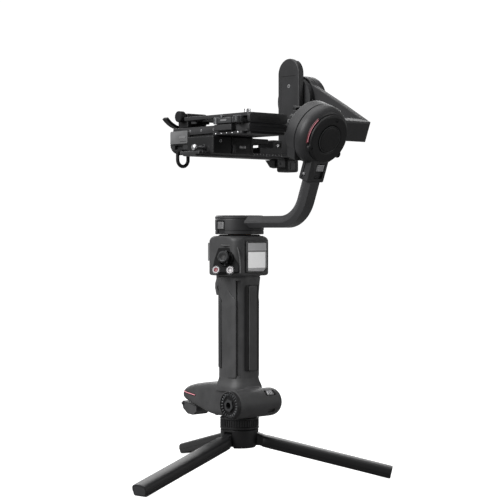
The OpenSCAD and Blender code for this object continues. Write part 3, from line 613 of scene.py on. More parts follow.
def grip_loop(grow=0.0, steps=16):
    """Millimetre points round the grip, anticlockwise from the middle of its back."""
    half_x, half_y, radius = 15.5 + grow, 18.5 + grow, 12 + grow
    loop = [(0, 1 - half_y)]
    for quarter, (sx, sy) in enumerate(((1, -1), (1, 1), (-1, 1), (-1, -1))):
        for k in range(steps + 1):
            angle = math.radians(270 + 90 * quarter + 90 * k / steps)
            loop.append((sx * (half_x - radius) + radius * math.cos(angle),
                         1 + sy * (half_y - radius) + radius * math.sin(angle)))
    return loop


class GripSkin:
    """Places a point by its distance round the grip from the back, and its height above the surface."""

    def __init__(self):
        self.loop = [Vector(p) for p in grip_loop(steps=24)]
        self.loop.append(self.loop[0])
        self.lengths = [0.0]
        for a, b in zip(self.loop, self.loop[1:]):
            self.lengths.append(self.lengths[-1] + (b - a).length)
        self.total = self.lengths[-1]

    def __call__(self, along, lift):
        along %= self.total
        k = 0
        while self.lengths[k + 1] < along:
            k += 1
        a, b = self.loop[k], self.loop[k + 1]
        point = a.lerp(b, (along - self.lengths[k]) / max(1e-9, self.lengths[k + 1] - self.lengths[k]))
        out = self.outward(k).lerp(self.outward(k + 1),
                                   (along - self.lengths[k]) / max(1e-9,
                                                                   self.lengths[k + 1] - self.lengths[k]))
        return point + out.normalized() * lift

    def outward(self, k):
        count = len(self.loop) - 1
        before, after = self.loop[(k - 1) % count], self.loop[(k + 1) % count]
        along = (after - before).normalized()
        return Vector((along.y, -along.x))

    def strip(self, name, first, last, inside, outside, low, high, steps=10):
        """A curved band over part of the grip, as a cutting solid."""
        spots = [first + (last - first) * k / steps for k in range(steps + 1)]
        outline = [tuple(self(a, inside)) for a in spots] + [tuple(self(a, outside)) for a in reversed(spots)]
        return prism(name, outline, low, high)


def wrapped(name, corners, radius, layers, middle=0.0, centre=0.0):
    """A skin over a round-cornered outline that follows the grip; a layer is (shrink, height above the grip)."""
    skin = GripSkin()
    base = round_corners(corners, radius, 6)
    wide = max(abs(x) for x, _ in base)
    tall = max(abs(z) for _, z in base)
    rings = []
    for shrink, height in layers:
        outline = [(x * (1 - shrink / wide), z * (1 - shrink / tall)) for x, z in base]
        ring = []
        for i, (s, v) in enumerate(outline):
            following = outline[(i + 1) % len(outline)]
            pieces = max(1, round(math.dist((s, v), following) / 2.2))
            for q in range(pieces):
                f = q / pieces
                point = skin(middle + s + (following[0] - s) * f, height)
                ring.append(mm(point.x, point.y, centre + v + (following[1] - v) * f))
        rings.append(ring)
    counts = [len(ring) for ring in rings]
    assert min(counts) > 8
    if len(set(counts)) > 1:
        rings = [resample(ring, max(counts)) for ring in rings]
    return loft(name, rings)


def resample(ring, count):
    """The same closed ring with evenly spaced points."""
    lengths = [0.0]
    closed = ring + [ring[0]]
    for a, b in zip(closed, closed[1:]):
        lengths.append(lengths[-1] + (b - a).length)
    points, k = [], 0
    for n in range(count):
        want = lengths[-1] * n / count
        while lengths[k + 1] < want:
            k += 1
        points.append(closed[k].lerp(closed[k + 1],
                                     (want - lengths[k]) / max(1e-9, lengths[k + 1] - lengths[k])))
    return points


def pad_layers(lift, smallest):
    """From the foot of a pad's wall, over its soft edge and in to the middle of its face."""
    layers = [(0.0, -0.8), (0.0, lift - 0.5), (0.15, lift - 0.2), (0.5, lift - 0.04), (1.0, lift)]
    return layers + [(1.0 + (smallest - 1.8) * k / 9, lift) for k in range(1, 10)]


def box_corners(width, tall):
    return [(width / 2, -tall / 2), (width / 2, tall / 2), (-width / 2, tall / 2), (-width / 2, -tall / 2)]


FRONT_PAD = [(27.2, -44), (27.2, 28), (10, 47), (-10, 47), (-27.2, 28), (-27.2, -44)]
REAR_COVER = box_corners(24.4, 88)
REAR_INLAY = box_corners(13.6, 85)
SIDE_PANEL = [(8.4, -47.5), (8.4, 27.5), (-2.4, 37.5), (-4.4, 37.5), (-4.4, -47.5)]


def grip_body():
    rings = []
    for z, grow in ((87, 0), (120, 0), (160, 0), (172, 0.15), (180, 0.7), (186, 1.3), (190.4, 1.7)):
        rings.append([mm(x, y, z) for x, y in grip_loop(grow)])
    body = loft("grip_body", rings)
    skin = GripSkin()
    for side in (-1, 1):
        carve(body, skin.strip("channel", side * 12.3, side * 16.6, -1.3, 3, 95.4, 185.4))
    carve(body,
          wrapped("front_bed", FRONT_PAD, 7, ((-0.8, -0.85), (-0.8, 3)), skin.total / 2, 140),
          ring_loop("seam", 188.6, 189.2, 0.7, 4))
    dress(body, "shell", "handle", "grip_shell")


def ring_loop(name, low, high, inside, outside):
    """A band round the grip between two growths of its outline, as a cutting solid."""
    outer, inner = grip_loop(outside), grip_loop(inside)
    count = len(outer)
    points = [mm(x, y, z) for ring, z in ((outer, low), (outer, high), (inner, high), (inner, low)) for x,
              y in ring]
    faces = []
    for r in range(4):
        n = (r + 1) % 4
        for i in range(count):
            j = (i + 1) % count
            faces.append((r * count + i, r * count + j, n * count + j, n * count + i))
    return add_piece(name, points, faces)


def grip():
    grip_body()
    half = GripSkin().total / 2
    cover = wrapped("rear_cover", REAR_COVER, 4.5, pad_layers(1.3, 7.0), 0, 140.5)
    carve(cover, wrapped("inlay_bed", REAR_INLAY, 3.4, ((-0.3, 0.7), (-0.3, 3)), 0, 140.5))
    dress(cover, "deep", "handle", "rear_grip_pad")
    dress(wrapped("rear_cover_inlay", REAR_INLAY, 3.2, pad_layers(2.5, 4.6), 0, 140.5), "shell", "handle")
    mirrored = [(-x, z) for x, z in reversed(SIDE_PANEL)]
    for name, corners, middle in (("left_panel", SIDE_PANEL, half * 1.5 + 5),
                                  ("right_panel", mirrored, half / 2 - 5)):
        dress(wrapped(name, corners, 1.8, pad_layers(0.9, 6), middle, 140), "shell", "handle")
    dress(wrapped("front_pad", FRONT_PAD, 7, pad_layers(0.75, 18.6), half, 140), "rubber", "handle",
          "front_grip_pad")


# ------------------------------------------------------------------ control head

def head_ring(z):
    """One level of the head: a rounded square that is trimmed to a circle near the top and bottom."""
    if z < 193:
        limit = 26 + 10 * (z - 190) / 3
    elif z < 213:
        limit = 36
    else:
        limit = 23.4 + 12.6 * math.cos(math.pi / 2 * (z - 213) / 14.5) ** 0.8
    ring = []
    for k in range(120):
        angle = 2 * math.pi * k / 120
        c, s = abs(math.cos(angle)), abs(math.sin(angle))
        reach = 22.5 / max(c, s)
        corner = 13.5
        if reach * c > corner and reach * s > corner:
            b = corner * (c + s)
            reach = b + math.sqrt(max(0, b * b - 2 * corner * corner + 81))
        soft = max(0.0, 1 - abs(reach - limit) / 3.0)
        reach = min(reach, limit) - 0.75 * soft * soft
        ring.append(mm(reach * math.cos(angle), 1 + reach * math.sin(angle), z))
    return ring


def head_body():
    levels = [190, 190.6, 191.6, 193, 195, 200, 206, 211, 213, 215, 217, 219, 221, 223, 224.6, 226, 227,
              227.5]
    body = loft("head_body", [head_ring(z) for z in levels])
    lamp = soft_block("lamp", (-16, 18, 202.4), (16, 28, 222), 2.5, segments=4)
    body = melt(join("head_body", body, lamp), 0.65, 5)
    carve(body,
          soften_edges(slab("window", rounded_outline(26.2, 14.2, 1.5, 5, (0, 212)), 26.5, 30, "y"), 0.01, 1),
          lathe("port", [(0.1, -2), (2.6, -2), (2.6, 3), (0.1, 3)], at(22.5, 0, 207) @ towards((1, 0, 0)),
                40),
          block("screen_bed", (-12.6, -30, 191.4), (16.6, -21, 223.8)),
          lathe("stick_well", [(0.1, -4.6), (6.8, -4.6), (6.8, 4), (0.1, 4)], CONSOLE, 48),
          ear_cut(1), ear_cut(-1))
    dress(body, "shell", "handle", "head_housing")
    trigger_ears()
    port = ring_lathe("port_rim", [(2.6, -1.4), (3.3, -1.4), (3.3, 0.05), (3.0, 0.2), (2.6, 0.05)],
                      at(22.5, 0, 207) @ towards((1, 0, 0)), 40)
    dress(port, "deep", "handle")


def ear_cut(side):
    x = 7.6 * side
    return block("ear_gap", (x - 1.2, 19.8, 185), (x + 1.2, 24.7, 189.9))


def trigger_ears():
    parts = []
    for side in (-1, 1):
        low, high = sorted((side * 6.4, side * 8.4))
        parts.append(soft_block("ear", (low, 19.8, 185.6), (high, 24.5, 192), 0.6))
    dress(join("trigger_ears", *parts), "shell", "handle")


def trigger():
    """Curved trigger under the lamp."""
    side = round_corners([(0.9, 1.4), (4.4, -1.6), (6.3, -6), (6.4, -10.4), (4.4, -17.2), (1.8, -17.2),
                          (3.2, -10.2), (0.2, -3.2), (-1.6, 0.6)], 0.8, 3)
    pull = soften_edges(slab("trigger_body", side, -6, 6, "x", at(0, 22.3, 187.8)), 0.7, 3, 40)
    barrel = lathe("barrel", [(0.1, -8.1), (1.15, -8.1), (1.15, 8.1), (0.1, 8.1)],
                   at(0, 22.3, 187.8) @ towards((1, 0, 0)), 32)
    dress(join("trigger_body", pull, barrel), "shell", "trigger", "trigger")


def screen():
    """Display on the head's back: a raised frame, a dim status strip and a lit panel behind a cover."""
    corners = [(-12.4, 193.4), (-12.4, 223.6), (16.4, 223.6), (16.4, 197.2), (11.2, 191.6), (-10.4, 191.6)]
    outer = round_corners(corners, 2.2, 5)
    frame_body = slab("screen_frame", outer, -23.6, -21.05, "y")
    inner = round_corners([(-10.6, 194.6), (-10.6, 221.4), (14.4, 221.4), (14.4, 198), (10.4, 193.6),
                           (-9.4, 193.6)], 1.4, 5)
    frame_body = carve(soften_edges(frame_body, 0.7, 3), slab("bed", inner, -25, -22.5, "y"))
    dress(frame_body, "shell", "handle", "screen_bezel")
    panel = slab("screen_panel", inner, -23.0, -22.4, "y")
    dress(soften_edges(panel, 0.1, 1), "glass", "handle", "screen_glass")
    grey = round_corners([(-9.9, 195.2), (-9.9, 220.8), (13.7, 220.8), (13.7, 198.4), (10.0, 194.2)], 0.9, 5)
    dress(slab("screen_backing", grey, -23.06, -22.9, "y"), "dim", "handle")
    lit = rounded_outline(21.6, 14.8, 0.7, 4, (1.2, 204.9))
    dress(slab("screen_lit", lit, -23.12, -22.9, "y"), "lit", "handle")
    shade = rounded_outline(24.2, 1.0, 0.4, 3, (1.9, 213.2))
    dress(slab("screen_rule", shade, -23.1, -22.9, "y"), "glass", "handle")


def console():
    """Thumb panel: a dished black plate with a raised lip along its rear edge."""
    outline = round_corners([(-15.6, -17.4), (-15.6, 15.4), (-1, 14.2), (12.6, 10.8), (12.6, -11), (-1, -15)],
                            3.2, 5)
    rings = []
    for grow, z in ((1.0, -12), (1.0, -1.6), (0.99, -0.8), (0.965, -0.2), (0.93, 0.0), (0.80, -0.25),
                    (0.5, -0.5)):
        rings.append([CONSOLE @ mm(x * grow, y * grow, z) for x, y in outline])
    plate = loft("console_plate", rings)
    carve(plate,
          block("above_head", (-22, -30, 180), (30, 30, 240)),
          lathe("well", [(0.1, -5), (6.8, -5), (6.8, 3), (0.1, 3)], CONSOLE, 56),
          lathe("record_hole", [(0.1, -4), (3.7, -4), (3.7, 3), (0.1, 3)], CONSOLE @ at(-11.2, 8.5, 0), 40),
          lathe("mode_hole", [(0.1, -4), (3.7, -4), (3.7, 3), (0.1, 3)], CONSOLE @ at(-11.2, -5.7, 0), 40))
    dress(plate, "console", "handle", "thumb_console")
    lip = [CONSOLE @ mm(x, y, 0.1) for x,
           y in ((-14.2, -16.6), (-7, -15.7), (0, -14.5), (6, -12.7), (11.2, -10.5), (12.4, -6), (12.6, 6))]
    tube("console_lip", lip, 0.85, "shell", "handle")
    gate = [(6.75, -2.6), (7.9, -2.6), (7.9, 0.5), (7.5, 0.95), (7.0, 0.9), (6.75, 0.5)]
    dress(ring_lathe("stick_gate", gate, CONSOLE, 72), "console", "handle")
    for y, name in ((8.5, "record_rim"), (-5.7, "mode_rim")):
        rim = [(3.55, -1.6), (4.3, -1.6), (4.3, 0.15), (4.1, 0.4), (3.8, 0.4), (3.55, 0.2)]
        dress(ring_lathe(name, rim, CONSOLE @ at(-11.2, y, 0), 56), "dark_anodised", "handle")


def tube(name, path, radius, look, body):
    """A round bar along a smooth path."""
    rings = []
    for i, point in enumerate(path):
        along = (path[min(i + 1, len(path) - 1)] - path[max(i - 1, 0)]).normalized()
        frame_turn = towards(along)
        rings.append([point + frame_turn @ (mm(math.cos(a), math.sin(a), 0) * radius)
                      for a in [2 * math.pi * k / 12 for k in range(12)]])
    return dress(loft(name, rings), look, body)


def thumb_controls():
    stick = [(0.2, -1), (1.5, -1), (1.5, 3.6), (2.6, 4.0), (5.2, 4.3), (5.6, 4.8), (5.6, 6.6), (5.2, 7.3),
             (4.4, 7.5), (3.6, 7.1),
             (1.8, 6.6), (0.2, 6.5)]
    cap = lathe("stick_cap", stick, CONSOLE, 72)
    studs = []
    for k in range(24):
        place = CONSOLE @ turn(15 * k)
        studs.append(prism("grain", [(5.3, -0.3), (5.75, -0.2), (5.75, 0.2), (5.3, 0.3)], 5.0, 6.6, place))
    pin = lathe("pin", [(0.1, -2.5), (0.95, -2.5), (0.95, 2.5), (0.1, 2.5)], CONSOLE @ towards((0, 1, 0)), 24)
    dress(join("stick_cap", cap, pin, *studs), "deep", "joystick", "joystick_cap")
    # painted highlight: a paler metal ring round the top of the joystick cap stands in for the ring of highlights
    # on it
    crown = [(2.9, 6.2), (4.9, 6.2), (4.9, 7.45), (4.5, 7.75), (3.4, 7.3), (2.9, 6.9)]
    dress(ring_lathe("stick_crown_painted_highlight", crown, CONSOLE, 72), "anodised", "joystick")
    for y, body, ring_name, core_name, look in ((8.5, "record_button", "record_ring", "record_core",
                                                 "red_soft"),
                                                (-5.7, "mode_button", "mode_ring", "mode_core", "button")):
        place = CONSOLE @ at(-11.2, y, 0)
        ring = [(2.1, -1.9), (3.4, -1.9), (3.4, 0.7), (3.2, 0.95), (2.3, 0.95), (2.1, 0.7)]
        dress(ring_lathe(ring_name, ring, place, 48), "button", body, body)
        core = [(0.1, -1.5), (2.0, -1.5), (2.0, 0.6), (1.8, 0.8), (1.2, 0.7), (0.1, 0.6)]
        dress(lathe(core_name, core, place, 40), look, body)


def lamp_window():
    """Front lamp: a clear cover over a grid of small emitters."""
    outline = rounded_outline(25.8, 13.8, 1.3, 5, (0, 212))
    dress(soften_edges(slab("lamp_cover", outline, 26.6, 28.4, "y"), 0.35, 3), "diffuser", "handle",
          "fill_light_lens")
    parts = []
    for column in range(6):
        for row in range(3):
            place = at(-10 + 4 * column, 28.35, 208 + 4 * row) @ towards((0, 1, 0))
            parts.append(lathe("cell", [(0.1, -0.4), (1.2, -0.4), (1.2, 0.02), (1.0, 0.1), (0.1, 0.14)],
                               place, 24))
    dress(join("lamp_cells", *parts), "diffuser", "handle")
    # painted light: thin pale sheets on both sides of the lamp block make those sides look lit
    for side in (-1, 1):
        low, high = sorted((side * 15.9, side * 16.25))
        dress(soft_block("lamp_cheek_painted_light", (low, 18.6, 203.6), (high, 27.3, 220.8), 0.15), "pale", "handle")


# ------------------------------------------------------------------ pan axis

def pan_ring():
    profile = [(5.1, 239.4), (20.4, 239.4), (20.4, 229), (22.6, 229), (23.1, 229.5), (23.1, 232.0),
               (22.8, 232.25), (22.8, 232.75),
               (23.2, 233.0), (23.3, 242.7), (22.9, 243.4), (5.1, 243.4)]
    ring = ring_lathe("pan_ring", profile, steps=120)
    carve(ring,
          soft_block("latch_bed", (20.9, -5.4, 230.2), (26, 5.4, 242), 0.5, turn(178)),
          block("slot_line", (22.7, 6.6, 237.0), (26, 16.5, 237.7), turn(178)))
    dress(ring, "metal", "pan_arm", "pan_housing")
    bed = turn(178)
    parts = [soft_block("cap", (21.2, -4.3, 234.0), (23.4, 4.3, 240.9), 0.5, bed)]
    for k in range(3):
        parts.append(soft_block("rib", (23.2, -3.2, 235 + 1.9 * k), (23.75, 3.2, 235.8 + 1.9 * k), 0.15, bed,
                                1))
    dress(join("pan_latch", *parts), "silver", "pan_lock", "pan_lock_slider")


def pan_neck():
    """The dark collar that the pan motor stands on."""
    profile = [(5.3, 227.4), (20, 227.4), (20.0, 227.9), (19.4, 228.3), (18.6, 228.7), (5.3, 228.7)]
    dress(ring_lathe("pan_neck", profile, steps=96), "deep", "handle")
    windings = [(5.3, 228.9), (19.5, 228.9), (19.6, 229.1), (19.6, 233.0), (19.3, 233.2), (5.3, 233.2)]
    dress(ring_lathe("pan_motor_cover", windings, steps=96), "deep", "handle")


def arm_path():
    """Middle line of the pan arm in y and z, with the outward way, from the motor up to the roll motor."""
    rise = ROLL_RISE
    top = Vector((-120.5 * math.cos(rise) + 42 * math.sin(rise),
                  360 - 120.5 * math.sin(rise) - 42 * math.cos(rise)))
    bend_z = 240.7 + 30 * (1 - math.sin(rise))
    bend_y = top.x + (top.y - bend_z) * math.tan(rise) + 30 * math.cos(rise)
    centre = Vector((bend_y, 270.7))
    stations = [(Vector((y, 240.7)), Vector((0, -1))) for y in (-12, -17, -22, -28, -34, -40, -50, -60,
                                                                bend_y + 1)]
    for k in range(1, 25):
        angle = math.radians(-90) - k / 24 * (math.pi / 2 - rise)
        out = Vector((math.cos(angle), math.sin(angle)))
        stations.append((centre + 30 * out, out))
    out = Vector((-math.cos(rise), -math.sin(rise)))
    start = centre + 30 * out
    for share in (0.15, 0.5, 0.9, 1.03):
        stations.append((start.lerp(top, share), out))
    return stations


def pan_arm():
    rings = []
    for middle, out in arm_path():
        flare = max(0.0, (middle.x + 40) / 26) if middle.x > -40 and middle.y < 242 else 0.0
        half = 8 + 6.2 * min(1.0, flare) ** 1.6
        section = ((1, -0.16), (1, 0.20), (0.70, 1), (-0.70, 1), (-1, 0.20), (-1, -0.16), (-0.72, -1),
                   (0.72, -1))
        ring = []
        for across, rise in section:
            point = middle + out * (5.5 * rise)
            ring.append(mm(half * across, point.x, point.y))
        rings.append(ring)
    bar = loft("pan_arm_bar", rings)
    carve(bar, lathe("room", [(0.1, 225), (23.5, 225), (23.5, 243.6), (0.1, 243.6)]))
    profile = [(0.3, 243.6), (22.9, 243.6), (23.3, 244.0), (23.3, 245.6), (22.2, 246.8), (21.0, 247.0),
               (0.3, 247.0)]
    disc = lathe("disc", profile, steps=120)
    arm = carve(disc, bar, operation="UNION")
    arm.name = "pan_arm_body"
    dress(soften_edges(arm, 0.35, 2, 28), "metal", "pan_arm", "pan_arm")


# ------------------------------------------------------------------ roll motor

def roll_stator():
    """The roll motor's back half, with the socket that the pan arm plugs into."""
    profile = [(5.05, 113.6), (5.05, 125.9), (22.3, 126), (23.2, 125.8), (24.9, 124.9), (26.8, 122.3),
               (27.8, 119.8), (28, 118),
               (28, 114.1), (27.6, 113.7), (24.4, 113.7), (24.4, 121.9), (12, 121.9), (12, 113.7)]
    shell = ring_lathe("roll_stator_shell", profile, BACK_ALONG_ROLL, 128)
    socket = soft_block("socket", (-10.6, -126, -42), (10.6, -113.7, -20), 1.6, ROLL_FRAME, 3)
    carve(socket, lathe("inside", [(0.1, 110), (24.6, 110), (24.6, 124.6), (0.1, 124.6)], BACK_ALONG_ROLL))
    body = carve(shell, socket, operation="UNION")
    carve(body,
          soft_block("latch_bed", (-3.6, -130, -38.4), (6.8, -123.6, -24.2), 0.6, ROLL_FRAME, 2),
          block("groove", (-12, -121.5, -40), (-9.9, -117.6, -25), ROLL_FRAME))
    dress(body, "metal", "pan_arm", "roll_stator_housing")
    parts = [soft_block("cap", (-2.9, -126.1, -31.4), (6.1, -123.8, -25.2), 0.5, ROLL_FRAME)]
    for k in range(3):
        parts.append(soft_block("rib", (-2, -126.6, -30.4 + 1.9 * k), (5.2, -126, -29.6 + 1.9 * k), 0.15,
                                ROLL_FRAME, 1))
    dress(join("roll_latch", *parts), "silver", "roll_lock", "roll_lock_slider")
    dress(soft_block("socket_pad", (-2.8, -123.74, -37.8), (6.0, -123.2, -33.4), 0.1, ROLL_FRAME), "rubber",
          "pan_arm")
    place = ROLL_FRAME @ at(-10.55, -119.6, -35.6) @ towards((-1, 0, 0))
    pin = lathe("socket_pin", [(0.1, -1.5), (1.5, -1.5), (1.5, 0.4), (1.1, 0.9), (0.1, 1.05)], place, 32)
    dress(pin, "steel", "pan_arm")


def roll_cap():
    """Back ring with two lugs, and the plain cap in it."""
    profile = [(12.4, 125.8), (22, 125.8), (22, 128.2), (21.5, 128.9), (20.6, 129.4), (14.2, 129.4),
               (13.4, 129.2), (12.4, 128.4)]
    parts = [ring_lathe("ring", profile, BACK_ALONG_ROLL, 128)]
    lug_angles = (205, 320)
    for angle in lug_angles:
        place = BACK_ALONG_ROLL @ turn(angle) @ at(21.6, 0, 0)
        parts.append(lathe("lug", [(0.1, 126), (3.1, 126), (3.1, 128.4), (2.6, 129.1), (0.1, 129.1)], place,
                           48))
    body = melt(join("roll_back_ring", *parts), 0.4, 4)
    for angle, reach in ((205, 21.6), (320, 21.6), (80, 17.6)):
        carve(body, lathe("hole", [(0.1, 127.9), (1.75, 127.9), (1.75, 131), (0.1, 131)],
                          BACK_ALONG_ROLL @ turn(angle) @ at(reach, 0, 0), 32))
    dress(body, "deep", "pan_arm", "roll_cap_ring")
    for n, (angle, reach) in enumerate(((205, 21.6), (320, 21.6), (80, 17.6))):
        top = 128.9 if reach > 20 else 129.2
        screw(f"roll_screw_{n + 1}", "pan_arm", BACK_ALONG_ROLL @ turn(angle) @ at(reach, 0, top), 1.55,
              "dark_anodised")
    cap = [(0.2, 125.9), (11.5, 125.9), (11.5, 129.4), (11.1, 129.9), (10.2, 130.15), (6, 130.2),
           (0.2, 130.2)]
    dress(lathe("roll_cap_disc", cap, BACK_ALONG_ROLL, 96), "deep", "pan_arm", "roll_cap")
    # painted highlight: a thin paler metal ring round the cap stands in for the bright edge highlight of the raised
    # cap
    rim = [(11.7, 126), (12.35, 126), (12.35, 129.5), (12.1, 129.8), (11.9, 129.8), (11.7, 129.6)]
    dress(ring_lathe("roll_cap_painted_highlight_rim", rim, BACK_ALONG_ROLL, 96), "anodised", "pan_arm")
    # the second arc is painted sheen: a faintly glowing pink line inside the red trim that stands in for its
    # highlight
    for name, inner, outer, low, high, look in (("roll_arc_trim", 22.3, 24.3, 124.6, 126.15, "red"),
                                                ("roll_arc_glow", 23.0, 23.7, 125.4, 126.3, "glow")):
        margin = 2 if look == "glow" else 0
        steps = [134 + margin + k * (193 - 134 - 2 * margin) / 24 for k in range(25)]
        outline = [(outer * math.cos(math.radians(a)), outer * math.sin(math.radians(a))) for a in steps]
        outline += [(inner * math.cos(math.radians(a)),
                     inner * math.sin(math.radians(a))) for a in reversed(steps)]
        arc = prism(name, outline, low, high, BACK_ALONG_ROLL)
        dress(arc, look, "pan_arm", *(("roll_accent_arc",) if look == "red" else ()))


def arc_points(radius, first, last, steps, centre=(0, 0)):
    """Points along an arc, from one angle to another in degrees."""
    angles = [math.radians(first + (last - first) * k / steps) for k in range(steps + 1)]
    return [(centre[0] + radius * math.cos(a), centre[1] + radius * math.sin(a)) for a in angles]


def roll_rotor():
    """The roll motor's front half, with its square foot and the bracket that holds the arm's bar."""
    profile = [(0.1, 100.6), (25.4, 100.6), (26.8, 101.2), (27.7, 102.2), (28, 103.4), (28, 112.7),
               (27.6, 113.1),
               (21, 113.1), (21, 109.1), (5.1, 109.1), (5.1, 103.6), (0.1, 103.6)]
    body = lathe("roll_rotor_body", profile, BACK_ALONG_ROLL, 128)
    outline = [(0, 0), (-27, -4), (-20.6, -23.4), (-19.6, -25.2), (-17.6, -26), (0, -26)]
    foot = soften_edges(slab("foot", outline, -113.1, -102.6, "y", ROLL_FRAME), 0.7, 3, 40)
    carve(foot, lathe("inside", [(0.1, 90), (22.5, 90), (22.5, 115), (0.1, 115)], BACK_ALONG_ROLL))
    bracket = soft_block("bracket", (-8, -101.8, -14), (20, -83, 14), 1.6, ROLL_FRAME, 3)
    carve(body, foot, bracket, operation="UNION")
    carve(body,
          block("bar_way", (-30, -98.6, -10.3), (30, -86, 10.3), ROLL_FRAME),
          lathe("clamp_hole", [(0.1, 0), (2.6, 0), (2.6, 20), (0.1, 20)], ROLL_FRAME @ at(12, -91.3, 0), 40))
    dress(body, "metal", "roll_motor", "roll_rotor_housing")
    for n, x in enumerate((-4, 16)):
        screw(f"bracket_screw_{n + 1}", "roll_motor", ROLL_FRAME @ at(x, -83.05, 12.2) @ towards((0, 1, 0)),
              1.1)


def roll_clamp():
    place = ROLL_FRAME @ at(12, -91.3, 14.3)
    outline = round_corners([(4.6, -4.6), (4.6, 4.6), (-8, 4.0), (-28, 3.1), (-28, -3.1), (-8, -4.0)], 1.6, 5)
    lever = soften_edges(prism("lever", outline, 0.6, 3.6, place), 0.7, 3)
    hub = lathe("hub", [(0.1, -3.4), (2.5, -3.4), (2.5, 0.3), (4.9, 0.3), (4.9, 3.5), (4.3, 4.0), (0.1, 4.0)],
                place, 48)
    ribs = [soft_block("rib", (-25.5 + 2 * k, -2.2, 3.4), (-24.6 + 2 * k, 2.2, 4.0), 0.2, place,
                       1) for k in range(5)]
    dress(join("roll_clamp_body", lever, hub, *ribs), "deep", "roll_clamp_lever", "roll_clamp_lever")
    screw("roll_clamp_screw", "roll_clamp_lever", place @ at(0, 0, 4.1), 2.0)


def roll_arm():
    """The bar that slides in the roll bracket, and the plate that carries the tilt motor."""
    bar = soft_block("roll_arm_body", (-14, -98.3, -10), (83.6, -86.3, 10), 2.0, ROLL_FRAME, 4)
    side = [(-92.7, -10), (-60, -13), (-14, -21)] + arc_points(25, -123, 123, 40) + [(-14, 21), (-60, 15),
                                                                                     (-92.7, 10)]
    plate = soften_edges(slab("plate", side, 77.4, 83.6, "x", ROLL_FRAME), 1.3, 3, 40)
    carve(bar, plate, operation="UNION")
    corner = turn(45)
    carve(bar,
          block("corner", (-4, -4, -20), (4, 4, 20), ROLL_FRAME @ at(84.6, -99.3, 0) @ corner),
          lathe("axle_way", [(0.1, 60), (5.1, 60), (5.1, 90), (0.1, 90)], ROLL_FRAME @ towards((1, 0, 0)),
                48),
          soft_block("latch_bed", (76, -42, -4.2), (80.2, -30.4, 4.2), 0.6, ROLL_FRAME, 2),
          slab("panel_line", hollow_outline(-88, 14, 0.5), 83.2, 85, "x", ROLL_FRAME))
    dress(bar, "metal", "roll_arm", "roll_arm")
    out = ROLL_FRAME @ towards((1, 0, 0))
    profile = [(0.1, 92.4), (22, 92.4), (22, 83.7), (25, 83.7), (25, 84.6), (24.7, 84.9), (24.7, 85.4),
               (25, 85.7), (25, 91.4),
               (24.6, 92.6), (23.6, 93.8), (22.2, 94.7), (20.6, 95), (13.4, 95), (13.0, 94.5), (12.2, 94.5),
               (11.8, 95), (0.1, 95)]
    dress(lathe("tilt_stator_shell", profile, out, 128), "metal", "roll_arm", "tilt_stator_housing")
    for k in range(3):
        screw(f"tilt_screw_{k + 1}", "roll_arm", out @ turn(90 + 120 * k) @ at(17, 0, 95.1), 1.5)
    parts = [soft_block("cap", (77.2, -37.9, -3.7), (80.0, -32.1, 3.7), 0.4, ROLL_FRAME)]
    parts += [soft_block("rib", (77.0, -37 + 1.8 * k, -2.8), (77.6, -36.3 + 1.8 * k, 2.8), 0.12, ROLL_FRAME,
                         1) for k in range(3)]
    dress(join("tilt_latch", *parts), "silver", "tilt_lock", "tilt_lock_slider")


def hollow_outline(middle, height, width):
    """A thin line across the arm, drawn as a narrow rectangle."""
    return [(middle, -height / 2), (middle + width, -height / 2), (middle + width, height / 2),
            (middle, height / 2)]


# ------------------------------------------------------------------ tilt arm and cross slide

def square_groove(name, centre, size, corner, width, low, high, axis):
    """A shallow groove along a rounded square, as a cutting solid."""
    outer = slab(name, rounded_outline(size, size, corner, 4, centre), low, high, axis)
    inner_size = size - 2 * width
    inner = slab("inner", rounded_outline(inner_size, inner_size, corner - width / 2, 4, centre), low - 1,
                 high + 1, axis)
    return carve(outer, inner)


def tilt_arm():
    """Upright column with its guide slot, and the rail that the camera platform slides on."""
    top = arc_points(15, 0, 180, 24, (0, 386))
    column = slab("tilt_arm_body", [(15, 301.6)] + top + [(-15, 301.6)], 64, 71)
    soften_edges(column, 1.3, 3, 40)
    rail = soft_block("rail", (-62, -14, 301.5), (71, 14, 306), 1.0)
    carve(rail, *[block("edge", (-63, 9 if s > 0 else -20, 300), (52, 20 if s > 0 else -9,
                                                                  303.2)) for s in (-1, 1)])
    foot = soft_block("foot", (55, -8, 289.5), (71, 8, 302.5), 2.2, segments=4)
    stop = soft_block("stop", (16, -11, 304.5), (46, 11, 311.8), 1.0)
    tower = soft_block("tower", (33, -11, 308), (46, 11, 319.6), 1.6, segments=4)
    carve(column, rail, foot, stop, tower, operation="UNION")
    carve(column,
          block("guide", (67.3, -8.3, 313.5), (73, 8.3, 410)),
          soft_block("groove", (15, -4, 300), (45, 4, 303.2), 0.4, segments=2),
          square_groove("mark", (63, 295.6), 8.4, 1.6, 0.7, -8.6, -7.3, "y"),
          soft_block("window", (37, -13, 312.6), (44, -10, 316.6), 0.5, segments=2),
          soft_block("face", (62.5, -10.5, 330), (64.4, 10.5, 384), 0.35, segments=2))
    dress(column, "metal", "tilt_arm", "tilt_arm")
    ears = []
    for side in (-1, 1):
        low, high = sorted((side * 3.4, side * 5.6))
        ear = soft_block("ear", (44.5, low, 294), (56, high, 302.4), 0.5)
        ears.append(carve(ear, lathe("pin_way", [(0.1, -9), (1.25, -9), (1.25, 9), (0.1, 9)],
                                     at(48, 0, 297.4) @ towards((0, 1, 0)), 32)))
    dress(join("clamp_ears", *ears), "metal", "tilt_arm")
    ticks = [soft_block("tick", (-58 + 4 * k, -14.1, 304.2 - (0.7 if k % 5 == 0 else 0)),
                        (-57.7 + 4 * k, -13.9, 305.4), 0.02, segments=1)
             for k in range(26)]
    dress(join("rail_scale", *ticks), "silver", "tilt_arm")
    for n, z in enumerate((340, 374)):
        screw(f"column_screw_{n + 1}", "tilt_arm", at(64.35, 0, z) @ towards((-1, 0, 0)), 1.8)
    screw("tower_screw", "tilt_arm", at(40.5, -10.1, 314.6) @ towards((0, -1, 0)), 1.4)


PIN_HEIGHT = 309.2


